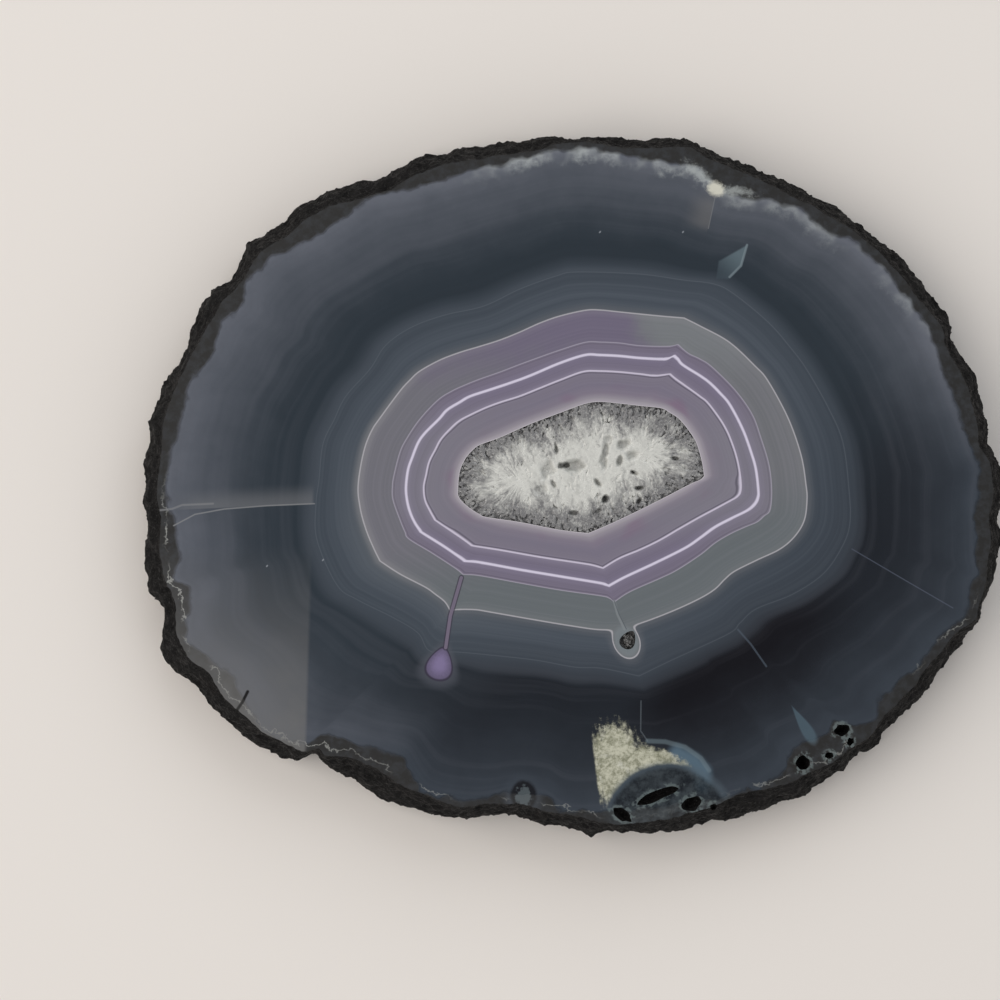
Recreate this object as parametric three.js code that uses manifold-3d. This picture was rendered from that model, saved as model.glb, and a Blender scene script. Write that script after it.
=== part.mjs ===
// Agate geode slice: a thick slab sawn through a nodule, with a polished face and a rough rind.
// A hollow in its middle is filled with quartz crystals, and a tiny one near it has its own.
// Millimetres. +Z is up, out of the polished face, and +X runs along the long side.
// The origin is in the middle of the flat underside that the slice rests on.

import * as THREE from 'three';
import { mergeVertices } from 'three/addons/utils/BufferGeometryUtils.js';
import Module from 'manifold-3d';

const wasm = await Module();
wasm.setup();

// Driving dimensions of the slab
const THICKNESS = 12;
const HALF_LENGTH = 64;
const HALF_WIDTH = 52;
const BOTTOM_TUCK = 1.3;
// The outline below is given at the scale of the polished face; the slab is widest below it
const WIDEST_DROP = 0.72;
const WIDEST_GROWTH = 1.013;

// Lumps of the rough rind: how far they stand out, and how wide each size of lump is
const BIG_LUMP_HEIGHT = 1.5;
const BIG_LUMP_WIDTH = 6.5;
const SMALL_LUMP_HEIGHT = 0.9;
const SMALL_LUMP_WIDTH = 2.4;
const LUMP_PHASE = 10;
const BIG_LUMP_MEAN = 0.35;
const SMALL_LUMP_MEAN = 0.5;
const EDGE_CHIP_SHARE = 0.3;

// How finely the rind is faceted
const POINTS_AROUND = 228;
const WALL_STEPS = 9;
const OUTLINE_STEPS = 3;
const HOLLOW_STEPS = 2;
const SMALL_HOLLOW_STEPS = 12;

// The hollow, and the crust of crystals in it
const HOLLOW_DEPTH = 7;
const CRUST_GAP = 0.3;
const CRUST_DISH_DEPTH = 2.6;
const CRYSTAL_COUNT = 74;
const CRYSTAL_SIZE = 1.5;
const CRYSTAL_LEAN = THREE.MathUtils.degToRad(34);
const CRYSTAL_SIDE_LEAN = CRYSTAL_LEAN * 0.6;
const CRYSTAL_SCATTER = 11;

// Shape of one crystal, as shares of the crystal size: it is thinner and taller at the rim
const CRYSTAL_SIDES = 6;
const THINNEST_RADIUS = 0.75;
const RADIUS_SPREAD = 0.6;
const RADIUS_FACTOR_IN_MIDDLE = 1.15;
const RADIUS_LOSS_AT_RIM = 0.45;
const LEAST_EXTRA_HEIGHT = 0.4;
const HEIGHT_GAIN_AT_RIM = 1.4;
const HEIGHT_SPREAD = 0.9;
const POINT_HEIGHT_PER_RADIUS = 1.1;

// The tiny drop-shaped hollow below the big one
const SMALL_HOLLOW_DEPTH = 3;
const SMALL_HOLLOW_LENGTH = 2.9;
const SMALL_HOLLOW_WIDTH = 2.2;
const SMALL_HOLLOW_TAPER = 0.35;
const SMALL_HOLLOW_CENTRE = new THREE.Vector2(8.3, -23.2);
const SMALL_HOLLOW_TURN = THREE.MathUtils.degToRad(62);
const SMALL_CRYSTAL_COUNT = 8;
const SMALL_CRYSTAL_SIZE = 0.35;
const SMALL_DISH_DEPTH = 1;
const SMALL_CRYSTAL_SCATTER = 8;

// Outline of the slab as it is seen from above, anticlockwise from the right end
const SLAB_OUTLINE = [
  [63.8, -1.8], [63.7, 0.6], [63.3, 3.3], [61.8, 5.9], [61.7, 8.1], [60.9, 12.6],
  [59.6, 16.5], [56.7, 21.5], [56.4, 24.0], [51.9, 29.9], [48.2, 34.2], [42.6, 39.0],
  [36.0, 42.8], [29.6, 45.9], [20.0, 50.0], [17.3, 51.3], [10.1, 51.3], [4.8, 52.0],
  [-2.0, 52.1], [-6.6, 51.2], [-12.0, 50.4], [-19.2, 49.4], [-24.2, 47.9], [-27.8, 46.1],
  [-33.2, 44.4], [-37.2, 43.2], [-41.3, 41.1], [-43.1, 39.5], [-46.7, 37.1], [-48.9, 35.0],
  [-51.6, 30.3], [-53.9, 28.5], [-55.7, 24.9], [-59.7, 17.0], [-61.4, 13.8], [-62.9, 9.3],
  [-63.2, 4.8], [-64.2, -2.0], [-63.8, -5.1], [-64.1, -8.3], [-63.6, -14.1], [-62.0, -18.2],
  [-61.4, -22.7], [-60.5, -25.4], [-58.8, -27.6], [-56.0, -29.4], [-54.6, -31.7],
  [-53.0, -33.6], [-50.7, -35.3], [-47.1, -38.4], [-44.0, -39.9], [-41.3, -40.8],
  [-38.6, -40.2], [-37.4, -41.3], [-33.6, -43.5], [-31.8, -44.9], [-27.3, -47.0],
  [-23.7, -48.0], [-17.0, -49.4], [-12.5, -48.9], [-8.4, -48.8], [-4.8, -50.1], [0.2, -51.0],
  [4.4, -52.2], [12.3, -51.9], [19.1, -50.6], [23.7, -49.7], [26.6, -48.6], [30.0, -47.7],
  [33.0, -46.7], [35.6, -45.2], [40.5, -42.2], [42.0, -40.7], [45.5, -38.1], [46.7, -36.2],
  [49.7, -33.0], [52.4, -30.8], [53.6, -28.7], [55.8, -25.7], [57.6, -23.6], [59.4, -21.9],
  [61.2, -20.4], [61.5, -18.5], [62.6, -14.9], [63.0, -12.2], [63.5, -7.7], [63.0, -5.3],
];

// How far the rough rind reaches out past the polished face, at angles round the slab
const RIND_REACH = [
  [0, 0.9], [30, 1.3], [60, 0.8], [90, 0.9], [118, 1.5], [140, 1.9], [160, 1.2], [178, 1.5],
  [190, 2.2], [203, 2.2], [214, 1.7], [224, 1.2], [227.5, 0.7], [231, 2.3], [236, 3.1],
  [241, 2.2], [250, 1.2], [264, 1.0], [275, 1.6], [286, 1.5], [296, 2.4], [304, 2.3],
  [312, 1.6], [318, 0.9], [330, 1.2], [345, 0.9], [360, 0.9],
];

// Rim of the crystal hollow seen from above, anticlockwise from its corner at the right.
// A third value of true marks a sharp corner.
const HOLLOW_OUTLINE = [
  [19.6, 1.3, true], [19.3, 3.3], [18.6, 6.0], [16.0, 9.7], [13.2, 11.5], [7.0, 12.2],
  [1.8, 12.1], [-2.0, 10.8], [-10.9, 7.1], [-14.0, 6.0], [-16.0, 4.0], [-17.1, 1.2],
  [-17.2, -1.5], [-15.5, -3.5], [-12.9, -4.8], [-2.0, -6.7], [2.2, -7.2, true],
  [9.3, -4.1], [13.8, -1.8],
];

// Pits in the polished face beside the rind: place, half sizes along and across, turn, depth
const RIM_PITS = [
  { x: 34.5, y: -41.7, along: 1.2, across: 1.0, turn: 75, depth: 2.2 },
  { x: 40.3, y: -36.8, along: 1.1, across: 0.8, turn: 20, depth: 1.8 },
  { x: 41.6, y: -38.5, along: 0.6, across: 0.5, turn: 60, depth: 1.2 },
  { x: 38.4, y: -40.6, along: 0.6, across: 0.5, turn: 0, depth: 1.2 },
  { x: 21.1, y: -48.4, along: 0.6, across: 0.5, turn: 90, depth: 1.2 },
  { x: 17.8, y: -47.8, along: 1.5, across: 1.0, turn: 15, depth: 1.8 },
  { x: 12.6, y: -46.6, along: 3.4, across: 0.8, turn: 22, depth: 1.6 },
  { x: 7.4, y: -49.4, along: 1.6, across: 0.8, turn: 150, depth: 1.4 },
];

const AGATE = new THREE.MeshStandardMaterial({ color: 0x3d444f, roughness: 0.2, metalness: 0 });
const QUARTZ = new THREE.MeshStandardMaterial({ color: 0xc9ccc6, roughness: 0.25, metalness: 0 });
const SMOKY_QUARTZ = new THREE.MeshStandardMaterial({
  color: 0x6b6b6e, roughness: 0.25, metalness: 0,
});

// Unrelated frequencies that make whole numbers look random
const SCATTER_FREQUENCIES = [127.1, 311.7, 74.7];
const SCATTER_GAIN = 43758.5453;

// A repeatable pseudo-random value from 0 to 1 for three whole numbers
function scatter(i, j, k) {
  const [a, b, c] = SCATTER_FREQUENCIES;
  const wave = Math.sin(i * a + j * b + k * c) * SCATTER_GAIN;
  return wave - Math.floor(wave);
}

// Smooth noise from 0 to 1 in space
function noise(x, y, z) {
  const [i, j, k] = [x, y, z].map(Math.floor);
  const [u, v, w] = [x - i, y - j, z - k].map((t) => t * t * (3 - 2 * t));
  const mix = THREE.MathUtils.lerp;
  const edge = (b, c) => mix(scatter(i, j + b, k + c), scatter(i + 1, j + b, k + c), u);
  return mix(mix(edge(0, 0), edge(1, 0), v), mix(edge(0, 1), edge(1, 1), v), w);
}

// A smooth closed curve through the points, as a list of [x, y], with its sharp corners kept
function closedCurve(points, stepsPerSpan) {
  const curve = [];
  const at = (i) => points[(i + points.length) % points.length];
  for (let i = 0; i < points.length; i += 1) {
    const [before, start, end, after] = [at(i - 1), at(i), at(i + 1), at(i + 2)];
    for (let step = 0; step < stepsPerSpan; step += 1) {
      const t = step / stepsPerSpan;
      curve.push([0, 1].map((axis) => {
        const chord = end[axis] - start[axis];
        const leave = start[2] ? chord : (end[axis] - before[axis]) / 2;
        const arrive = end[2] ? chord : (after[axis] - start[axis]) / 2;
        const bend = t * (1 - t);
        return start[axis] + chord * t
          + bend * ((1 - t) * (leave - chord) - t * (arrive - chord));
      }));
    }
  }
  return curve;
}

// The same closed curve with its points evenly spaced along it
function evenlySpaced(curve, count) {
  const loop = new THREE.CurvePath();
  curve.forEach((point, i) => {
    const next = curve[(i + 1) % curve.length];
    loop.add(new THREE.LineCurve(new THREE.Vector2(...point), new THREE.Vector2(...next)));
  });
  return loop.getSpacedPoints(count).slice(0, count);
}

// Where a closed curve goes when it is drawn in by a distance
function drawnIn(curve, distance) {
  return curve.map(([x, y], i) => {
    const before = curve[(i + curve.length - 1) % curve.length];
    const after = curve[(i + 1) % curve.length];
    const along = new THREE.Vector2(after[0] - before[0], after[1] - before[1]).normalize();
    return [x - along.y * distance, y + along.x * distance];
  });
}

function solidFrom(geometry) {
  geometry.deleteAttribute('normal');
  geometry.deleteAttribute('uv');
  const merged = mergeVertices(geometry, 1e-4);
  return new wasm.Manifold(new wasm.Mesh({
    numProp: 3,
    vertProperties: new Float32Array(merged.attributes.position.array),
    triVerts: new Uint32Array(merged.index.array),
  }));
}

function geometryFrom(solid) {
  const mesh = solid.getMesh();
  const geometry = new THREE.BufferGeometry();
  geometry.setAttribute('position', new THREE.BufferAttribute(mesh.vertProperties, 3));
  geometry.setIndex(new THREE.BufferAttribute(mesh.triVerts, 1));
  geometry.computeVertexNormals();
  return geometry;
}

// An upright plug that fills a hollow between two heights
function plug(outline, floorZ, topZ) {
  const shape = new THREE.Shape(outline.map(([x, y]) => new THREE.Vector2(x, y)));
  const geometry = new THREE.ExtrudeGeometry(shape, {
    depth: topZ - floorZ, steps: 1, bevelEnabled: false,
  });
  return solidFrom(geometry.translate(0, 0, floorZ));
}

// How far the rind reaches past the polished face at an angle in degrees
function rindReach(angle) {
  const next = RIND_REACH.findIndex(([station]) => station >= angle);
  if (next === 0) return RIND_REACH[0][1];
  const [startAngle, startReach] = RIND_REACH[next - 1];
  const [endAngle, endReach] = RIND_REACH[next];
  return THREE.MathUtils.mapLinear(angle, startAngle, endAngle, startReach, endReach);
}

// How far the rough surface lies in from its mean place on the wall, between its lumps
function lumpDepth(x, y, z) {
  const [bx, by, bz] = [x, y, z].map((value) => value / BIG_LUMP_WIDTH + LUMP_PHASE);
  const [sx, sy, sz] = [x, y, z].map((value) => value / SMALL_LUMP_WIDTH - LUMP_PHASE);
  const big = Math.abs(2 * noise(bx, by, bz) - 1);
  const small = noise(sx, sy, sz);
  return BIG_LUMP_HEIGHT * (big - BIG_LUMP_MEAN) + SMALL_LUMP_HEIGHT * (small - SMALL_LUMP_MEAN);
}

// The slab before anything is cut into it: rings down the wall, closed by two flat faces
function slabBlank() {
  const outline = evenlySpaced(closedCurve(SLAB_OUTLINE, OUTLINE_STEPS), POINTS_AROUND);
  const positions = [];
  for (let ring = 0; ring <= WALL_STEPS; ring += 1) {
    const drop = ring / WALL_STEPS;
    const z = THICKNESS * (1 - drop);
    const swell = drop < WIDEST_DROP ? Math.sin((Math.PI / 2) * (drop / WIDEST_DROP)) : 1;
    const under = Math.max(0, (drop - WIDEST_DROP) / (1 - WIDEST_DROP));
    const tuck = BOTTOM_TUCK * (1 - Math.sqrt(1 - under * under));
    const lumps = ring === 0 ? EDGE_CHIP_SHARE : 1;
    outline.forEach((point) => {
      const angle = THREE.MathUtils.radToDeg(point.angle());
      const outward = new THREE.Vector2(
        point.x / (HALF_LENGTH * HALF_LENGTH),
        point.y / (HALF_WIDTH * HALF_WIDTH),
      ).normalize();
      const polishedEdge = point.clone().addScaledVector(outward, -rindReach(angle));
      const widest = point.clone().multiplyScalar(WIDEST_GROWTH);
      const inset = tuck + lumps * lumpDepth(point.x, point.y, z);
      const surface = polishedEdge.lerp(widest, swell).addScaledVector(outward, -inset);
      positions.push(surface.x, surface.y, z);
    });
  }
  const topCentre = positions.push(0, 0, THICKNESS) / 3 - 1;
  const bottomCentre = positions.push(0, 0, 0) / 3 - 1;
  const triangles = [];
  const lastRing = WALL_STEPS * POINTS_AROUND;
  for (let i = 0; i < POINTS_AROUND; i += 1) {
    const next = (i + 1) % POINTS_AROUND;
    triangles.push(topCentre, i, next, bottomCentre, lastRing + next, lastRing + i);
    for (let ring = 0; ring < WALL_STEPS; ring += 1) {
      const upper = ring * POINTS_AROUND;
      const lower = upper + POINTS_AROUND;
      triangles.push(upper + i, lower + i, lower + next, upper + i, lower + next, upper + next);
    }
  }
  const geometry = new THREE.BufferGeometry();
  geometry.setAttribute('position', new THREE.Float32BufferAttribute(positions, 3));
  geometry.setIndex(triangles);
  return solidFrom(geometry);
}

function rimPit({ x, y, along, across, turn, depth }) {
  const geometry = new THREE.IcosahedronGeometry(1, 1);
  geometry.scale(along, across, depth);
  geometry.rotateZ(THREE.MathUtils.degToRad(turn));
  geometry.translate(x, y, THICKNESS);
  return solidFrom(geometry);
}

// A six-sided crystal on its foot, with a blunt point of six flat faces
function crystal(radius, height, pointHeight) {
  const profile = [[0, 0], [radius, 0], [radius, height - pointHeight], [0, height]];
  const points = profile.map(([r, z]) => new THREE.Vector2(r, z));
  return new THREE.LatheGeometry(points, CRYSTAL_SIDES).rotateX(Math.PI / 2);
}

// Crystals that grow from the wall of a hollow and lean towards its middle, joined to a floor
function crystalCrust({ outline, floorZ, dishZ, count, size, seed }) {
  const centre = new THREE.Box2()
    .setFromPoints(outline.map(([x, y]) => new THREE.Vector2(x, y)))
    .getCenter(new THREE.Vector2());
  const goldenTurn = Math.PI * (3 - Math.sqrt(5));
  let crust = plug(outline, floorZ, dishZ);
  for (let i = 0; i < count; i += 1) {
    const share = Math.sqrt((i + 0.5) / count);
    const rimPoint = outline[Math.floor(outline.length * ((i * goldenTurn / (2 * Math.PI)) % 1))];
    const foot = new THREE.Vector2(...rimPoint).sub(centre).multiplyScalar(share).add(centre);
    const girth = THINNEST_RADIUS + RADIUS_SPREAD * scatter(i, seed, 1);
    const radius = size * girth * (RADIUS_FACTOR_IN_MIDDLE - RADIUS_LOSS_AT_RIM * share);
    const gain = HEIGHT_GAIN_AT_RIM * share + HEIGHT_SPREAD * scatter(i, seed, 2);
    const height = THICKNESS - dishZ + size * (LEAST_EXTRA_HEIGHT + gain);
    const geometry = crystal(radius, height + size, radius * POINT_HEIGHT_PER_RADIUS);
    geometry.rotateZ(Math.PI * scatter(i, seed, 3));
    geometry.rotateY(-CRYSTAL_LEAN * share * (0.5 + scatter(i, seed, 4)));
    geometry.rotateX(CRYSTAL_SIDE_LEAN * (scatter(i, seed, 5) - 0.5));
    geometry.rotateZ(Math.atan2(foot.y - centre.y, foot.x - centre.x));
    geometry.translate(foot.x, foot.y, dishZ - size);
    crust = crust.add(solidFrom(geometry));
  }
  return crust.intersect(plug(outline, floorZ, THICKNESS));
}

const hollowOutline = closedCurve(HOLLOW_OUTLINE, HOLLOW_STEPS);

const smallHollowOutline = Array.from({ length: SMALL_HOLLOW_STEPS }, (_, i) => {
  const turn = (i / SMALL_HOLLOW_STEPS) * 2 * Math.PI;
  const taper = 1 - SMALL_HOLLOW_TAPER * Math.cos(turn);
  const point = new THREE.Vector2(
    Math.cos(turn) * SMALL_HOLLOW_LENGTH / 2,
    Math.sin(turn) * taper * SMALL_HOLLOW_WIDTH / 2,
  );
  point.rotateAround(new THREE.Vector2(), SMALL_HOLLOW_TURN).add(SMALL_HOLLOW_CENTRE);
  return [point.x, point.y];
});

function agateSlab() {
  const above = THICKNESS + 1;
  let slab = slabBlank();
  RIM_PITS.forEach((pit) => {
    slab = slab.subtract(rimPit(pit));
  });
  const floor = THICKNESS - HOLLOW_DEPTH;
  const smallFloor = THICKNESS - SMALL_HOLLOW_DEPTH;
  slab = slab.subtract(plug(hollowOutline, floor, above));
  slab = slab.subtract(plug(smallHollowOutline, smallFloor, above));
  const mesh = new THREE.Mesh(geometryFrom(slab), AGATE);
  mesh.name = 'agate_slab';
  return mesh;
}

function quartzCrystalCrust() {
  const crust = crystalCrust({
    outline: drawnIn(hollowOutline, CRUST_GAP),
    floorZ: THICKNESS - HOLLOW_DEPTH + CRUST_GAP,
    dishZ: THICKNESS - CRUST_DISH_DEPTH,
    count: CRYSTAL_COUNT,
    size: CRYSTAL_SIZE,
    seed: CRYSTAL_SCATTER,
  });
  const mesh = new THREE.Mesh(geometryFrom(crust), QUARTZ);
  mesh.name = 'quartz_crystal_crust';
  return mesh;
}

function smallHollowCrystals() {
  const crust = crystalCrust({
    outline: drawnIn(smallHollowOutline, CRUST_GAP),
    floorZ: THICKNESS - SMALL_HOLLOW_DEPTH + CRUST_GAP,
    dishZ: THICKNESS - SMALL_DISH_DEPTH,
    count: SMALL_CRYSTAL_COUNT,
    size: SMALL_CRYSTAL_SIZE,
    seed: SMALL_CRYSTAL_SCATTER,
  });
  const mesh = new THREE.Mesh(geometryFrom(crust), SMOKY_QUARTZ);
  mesh.name = 'small_hollow_crystals';
  return mesh;
}

const geodeSlice = new THREE.Group();
geodeSlice.add(agateSlab(), quartzCrystalCrust(), smallHollowCrystals());

export default geodeSlice;
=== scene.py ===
# Agate geode slice, dressed round its CAD model.
# A thick slab with a polished face, a pumice-like rind and a hollow full of quartz crystals.
# Plan sizes are written in millimetres, as in the part's source, and turned into metres once.

import math

import bpy
import numpy as np
from bpy.props import FloatProperty, FloatVectorProperty, IntProperty, PointerProperty
from mathutils import Matrix, Vector


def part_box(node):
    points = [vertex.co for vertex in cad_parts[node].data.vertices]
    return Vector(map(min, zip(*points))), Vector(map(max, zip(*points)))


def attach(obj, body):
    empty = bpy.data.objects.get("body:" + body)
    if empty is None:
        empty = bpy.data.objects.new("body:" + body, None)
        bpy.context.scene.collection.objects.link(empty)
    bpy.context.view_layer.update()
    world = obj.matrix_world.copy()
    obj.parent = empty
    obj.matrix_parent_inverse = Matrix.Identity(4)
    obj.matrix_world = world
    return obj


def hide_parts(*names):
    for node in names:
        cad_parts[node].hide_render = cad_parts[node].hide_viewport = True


bl_info = {
    "name": "Agate geode slice",
    "version": (1, 0, 0),
    "blender": (4, 5, 0),
    "location": "3D View > Sidebar > Geode",
    "description": "Builds a polished agate slice with a hollow of quartz crystals",
    "category": "Add Mesh",
}

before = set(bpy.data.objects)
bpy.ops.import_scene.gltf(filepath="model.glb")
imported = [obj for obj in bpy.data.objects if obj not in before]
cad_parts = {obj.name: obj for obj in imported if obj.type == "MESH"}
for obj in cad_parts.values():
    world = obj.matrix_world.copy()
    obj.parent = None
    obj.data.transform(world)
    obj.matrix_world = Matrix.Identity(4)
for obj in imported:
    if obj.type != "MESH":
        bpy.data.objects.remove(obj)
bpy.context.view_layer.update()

MM = 0.001
SLAB_NODE = "agate_slab"
CRUST_NODE = "quartz_crystal_crust"
SMALL_NODE = "small_hollow_crystals"
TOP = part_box(SLAB_NODE)[1].z / MM
CRUST_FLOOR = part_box(CRUST_NODE)[0].z / MM
SMALL_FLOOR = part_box(SMALL_NODE)[0].z / MM

# Sizes shared with the CAD
HALF_LENGTH = 64
HALF_WIDTH = 52
BOTTOM_TUCK = 1.3
WIDEST_DROP = 0.72
WIDEST_GROWTH = 1.013
BIG_LUMP_HEIGHT = 1.5
BIG_LUMP_WIDTH = 6.5
SMALL_LUMP_HEIGHT = 0.9
SMALL_LUMP_WIDTH = 2.4
LUMP_PHASE = 10
BIG_LUMP_MEAN = 0.35
SMALL_LUMP_MEAN = 0.5
EDGE_CHIP_SHARE = 0.3
HOLLOW_GAP = 0.3
SMALL_HOLLOW_CENTRE = (8.3, -23.2)
SMALL_HOLLOW_TURN = 62
SMALL_HOLLOW_LENGTH = 2.9
SMALL_HOLLOW_WIDTH = 2.2
SMALL_HOLLOW_TAPER = 0.35

SLAB_OUTLINE = [
    (63.8, -1.8), (63.7, 0.6), (63.3, 3.3), (61.8, 5.9), (61.7, 8.1), (60.9, 12.6),
    (59.6, 16.5), (56.7, 21.5), (56.4, 24.0), (51.9, 29.9), (48.2, 34.2), (42.6, 39.0),
    (36.0, 42.8), (29.6, 45.9), (20.0, 50.0), (17.3, 51.3), (10.1, 51.3), (4.8, 52.0),
    (-2.0, 52.1), (-6.6, 51.2), (-12.0, 50.4), (-19.2, 49.4), (-24.2, 47.9), (-27.8, 46.1),
    (-33.2, 44.4), (-37.2, 43.2), (-41.3, 41.1), (-43.1, 39.5), (-46.7, 37.1), (-48.9, 35.0),
    (-51.6, 30.3), (-53.9, 28.5), (-55.7, 24.9), (-59.7, 17.0), (-61.4, 13.8), (-62.9, 9.3),
    (-63.2, 4.8), (-64.2, -2.0), (-63.8, -5.1), (-64.1, -8.3), (-63.6, -14.1), (-62.0, -18.2),
    (-61.4, -22.7), (-60.5, -25.4), (-58.8, -27.6), (-56.0, -29.4), (-54.6, -31.7),
    (-53.0, -33.6), (-50.7, -35.3), (-47.1, -38.4), (-44.0, -39.9), (-41.3, -40.8),
    (-38.6, -40.2), (-37.4, -41.3), (-33.6, -43.5), (-31.8, -44.9), (-27.3, -47.0),
    (-23.7, -48.0), (-17.0, -49.4), (-12.5, -48.9), (-8.4, -48.8), (-4.8, -50.1), (0.2, -51.0),
    (4.4, -52.2), (12.3, -51.9), (19.1, -50.6), (23.7, -49.7), (26.6, -48.6), (30.0, -47.7),
    (33.0, -46.7), (35.6, -45.2), (40.5, -42.2), (42.0, -40.7), (45.5, -38.1), (46.7, -36.2),
    (49.7, -33.0), (52.4, -30.8), (53.6, -28.7), (55.8, -25.7), (57.6, -23.6), (59.4, -21.9),
    (61.2, -20.4), (61.5, -18.5), (62.6, -14.9), (63.0, -12.2), (63.5, -7.7), (63.0, -5.3),
]

# How far the rough rind reaches out past the polished face, at angles round the slab
RIND_REACH = [
    (0, 0.9), (30, 1.3), (60, 0.8), (90, 0.9), (118, 1.5), (140, 1.9), (160, 1.2), (178, 1.5),
    (190, 2.2), (203, 2.2), (214, 1.7), (224, 1.2), (227.5, 0.7), (231, 2.3), (236, 3.1),
    (241, 2.2), (250, 1.2), (264, 1.0), (275, 1.6), (286, 1.5), (296, 2.4), (304, 2.3),
    (312, 1.6), (318, 0.9), (330, 1.2), (345, 0.9), (360, 0.9),
]

# Pits in the polished face beside the rind: place, half sizes, turn in degrees, depth
RIM_PITS = [
    (34.5, -41.7, 1.2, 1.0, 75, 2.2), (40.3, -36.8, 1.1, 0.8, 20, 1.8),
    (41.6, -38.5, 0.6, 0.5, 60, 1.2), (38.4, -40.6, 0.6, 0.5, 0, 1.2),
    (21.1, -48.4, 0.6, 0.5, 90, 1.2), (17.8, -47.8, 1.5, 1.0, 15, 1.8),
    (12.6, -46.6, 3.4, 0.8, 22, 1.6), (7.4, -49.4, 1.6, 0.8, 150, 1.4),
]

# The agate's layers, from the rind inwards
# Closed curves anticlockwise from the top; a third value of True marks a sharp corner
RIND_EDGE = [
    (-3.0, 50.25), (-10.2, 48.3), (-19.2, 46.05), (-25.95, 43.95), (-30.45, 43.05),
    (-34.95, 39.9), (-40.8, 36.3), (-45.75, 33.6), (-49.2, 29.85), (-49.65, 26.85),
    (-52.5, 24.15), (-54.3, 19.65), (-57.45, 15.6), (-58.35, 11.55), (-60.0, 6.15),
    (-60.9, -0.6), (-59.7, -6.0), (-59.1, -10.5), (-59.55, -14.1), (-57.3, -15.9),
    (-57.9, -22.65), (-54.75, -26.25), (-51.15, -28.95), (-46.2, -37.95), (-43.05, -38.4),
    (-39.45, -38.55), (-37.2, -37.5), (-30.45, -39.3), (-25.95, -40.65), (-23.7, -44.25),
    (-21.45, -46.5), (-14.7, -47.4), (-9.3, -46.5), (-4.35, -46.95), (1.05, -49.2),
    (19.05, -47.4), (22.8, -46.65), (26.55, -46.35), (29.7, -44.4), (31.95, -42.6),
    (32.25, -40.2), (37.95, -37.35), (39.0, -35.25), (42.15, -36.15), (45.15, -34.95),
    (45.9, -32.7), (48.9, -29.7), (52.2, -27.15), (54.9, -22.95), (57.15, -21.0),
    (59.25, -19.35), (59.55, -15.0), (61.05, -13.2), (60.6, -10.95), (60.45, -6.3),
    (60.6, -1.2), (61.05, 2.25), (59.85, 5.1), (58.8, 8.4), (56.85, 13.5), (54.3, 21.0),
    (52.8, 24.0), (48.6, 30.0), (42.3, 36.3), (38.1, 37.95), (32.55, 42.0), (25.05, 43.35),
    (21.0, 45.75), (17.55, 48.0), (11.55, 48.75), (4.05, 50.25),
]
SLATE_EDGE = [
    (0.6, 31.95), (-2.55, 31.35), (-7.95, 29.4), (-13.35, 26.85), (-19.2, 25.5),
    (-24.15, 23.7), (-28.05, 21.0), (-30.45, 17.4), (-34.05, 13.35), (-35.85, 9.75),
    (-37.5, 6.15), (-38.1, 0.75), (-38.55, -2.85), (-38.4, -8.25), (-35.4, -15.0),
    (-32.25, -17.25), (-26.85, -19.95), (-23.25, -22.2), (-21.45, -24.9), (-17.4, -25.05),
    (-12.45, -25.5), (-5.7, -26.25), (0.15, -27.3), (4.35, -27.5), (9.9, -28.65, True),
    (14.85, -26.25), (23.25, -22.35), (25.05, -20.7), (27.45, -18.6), (33.0, -16.35),
    (37.65, -13.2), (40.5, -9.0), (41.55, -5.55), (41.4, -0.75), (40.5, 6.3), (38.4, 11.4),
    (35.1, 17.25), (32.55, 20.7), (29.25, 24.45), (24.15, 28.65), (21.15, 30.15),
    (16.5, 30.75), (9.9, 31.65),
]
LILAC_EDGE = [
    (4.05, 26.25), (1.8, 26.2), (-1.95, 25.35), (-4.95, 24.3), (-7.95, 22.95),
    (-10.95, 21.75), (-13.95, 20.8), (-16.95, 19.9), (-19.95, 18.75), (-22.95, 17.1),
    (-24.45, 15.75), (-25.95, 14.1), (-28.95, 10.05), (-30.15, 8.25), (-31.2, 5.7),
    (-31.95, 2.25), (-32.25, -0.75), (-31.95, -3.3), (-31.5, -5.25), (-30.75, -7.5),
    (-29.7, -9.9), (-28.95, -11.4, True), (-25.95, -13.35), (-22.2, -15.3), (-20.7, -16.35),
    (-19.2, -17.55), (-18.3, -19.05, True), (-17.55, -18.7), (-14.7, -18.7),
    (-12.45, -19.05), (-6.45, -20.1), (-0.45, -21.1), (4.05, -21.7), (7.35, -21.5),
    (10.8, -20.5), (15.3, -18.75), (19.05, -17.0), (21.3, -15.6), (22.8, -14.1),
    (24.3, -12.9), (27.6, -11.25), (31.05, -9.6), (33.3, -7.65), (34.7, -5.25),
    (35.1, -2.25), (34.95, 0), (34.2, 4.5), (32.25, 10.05), (29.25, 15.6), (27.3, 17.85),
    (23.4, 21.45), (19.05, 23.85), (16.65, 25.05, True), (13.05, 25.35), (7.05, 25.95),
]
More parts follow.
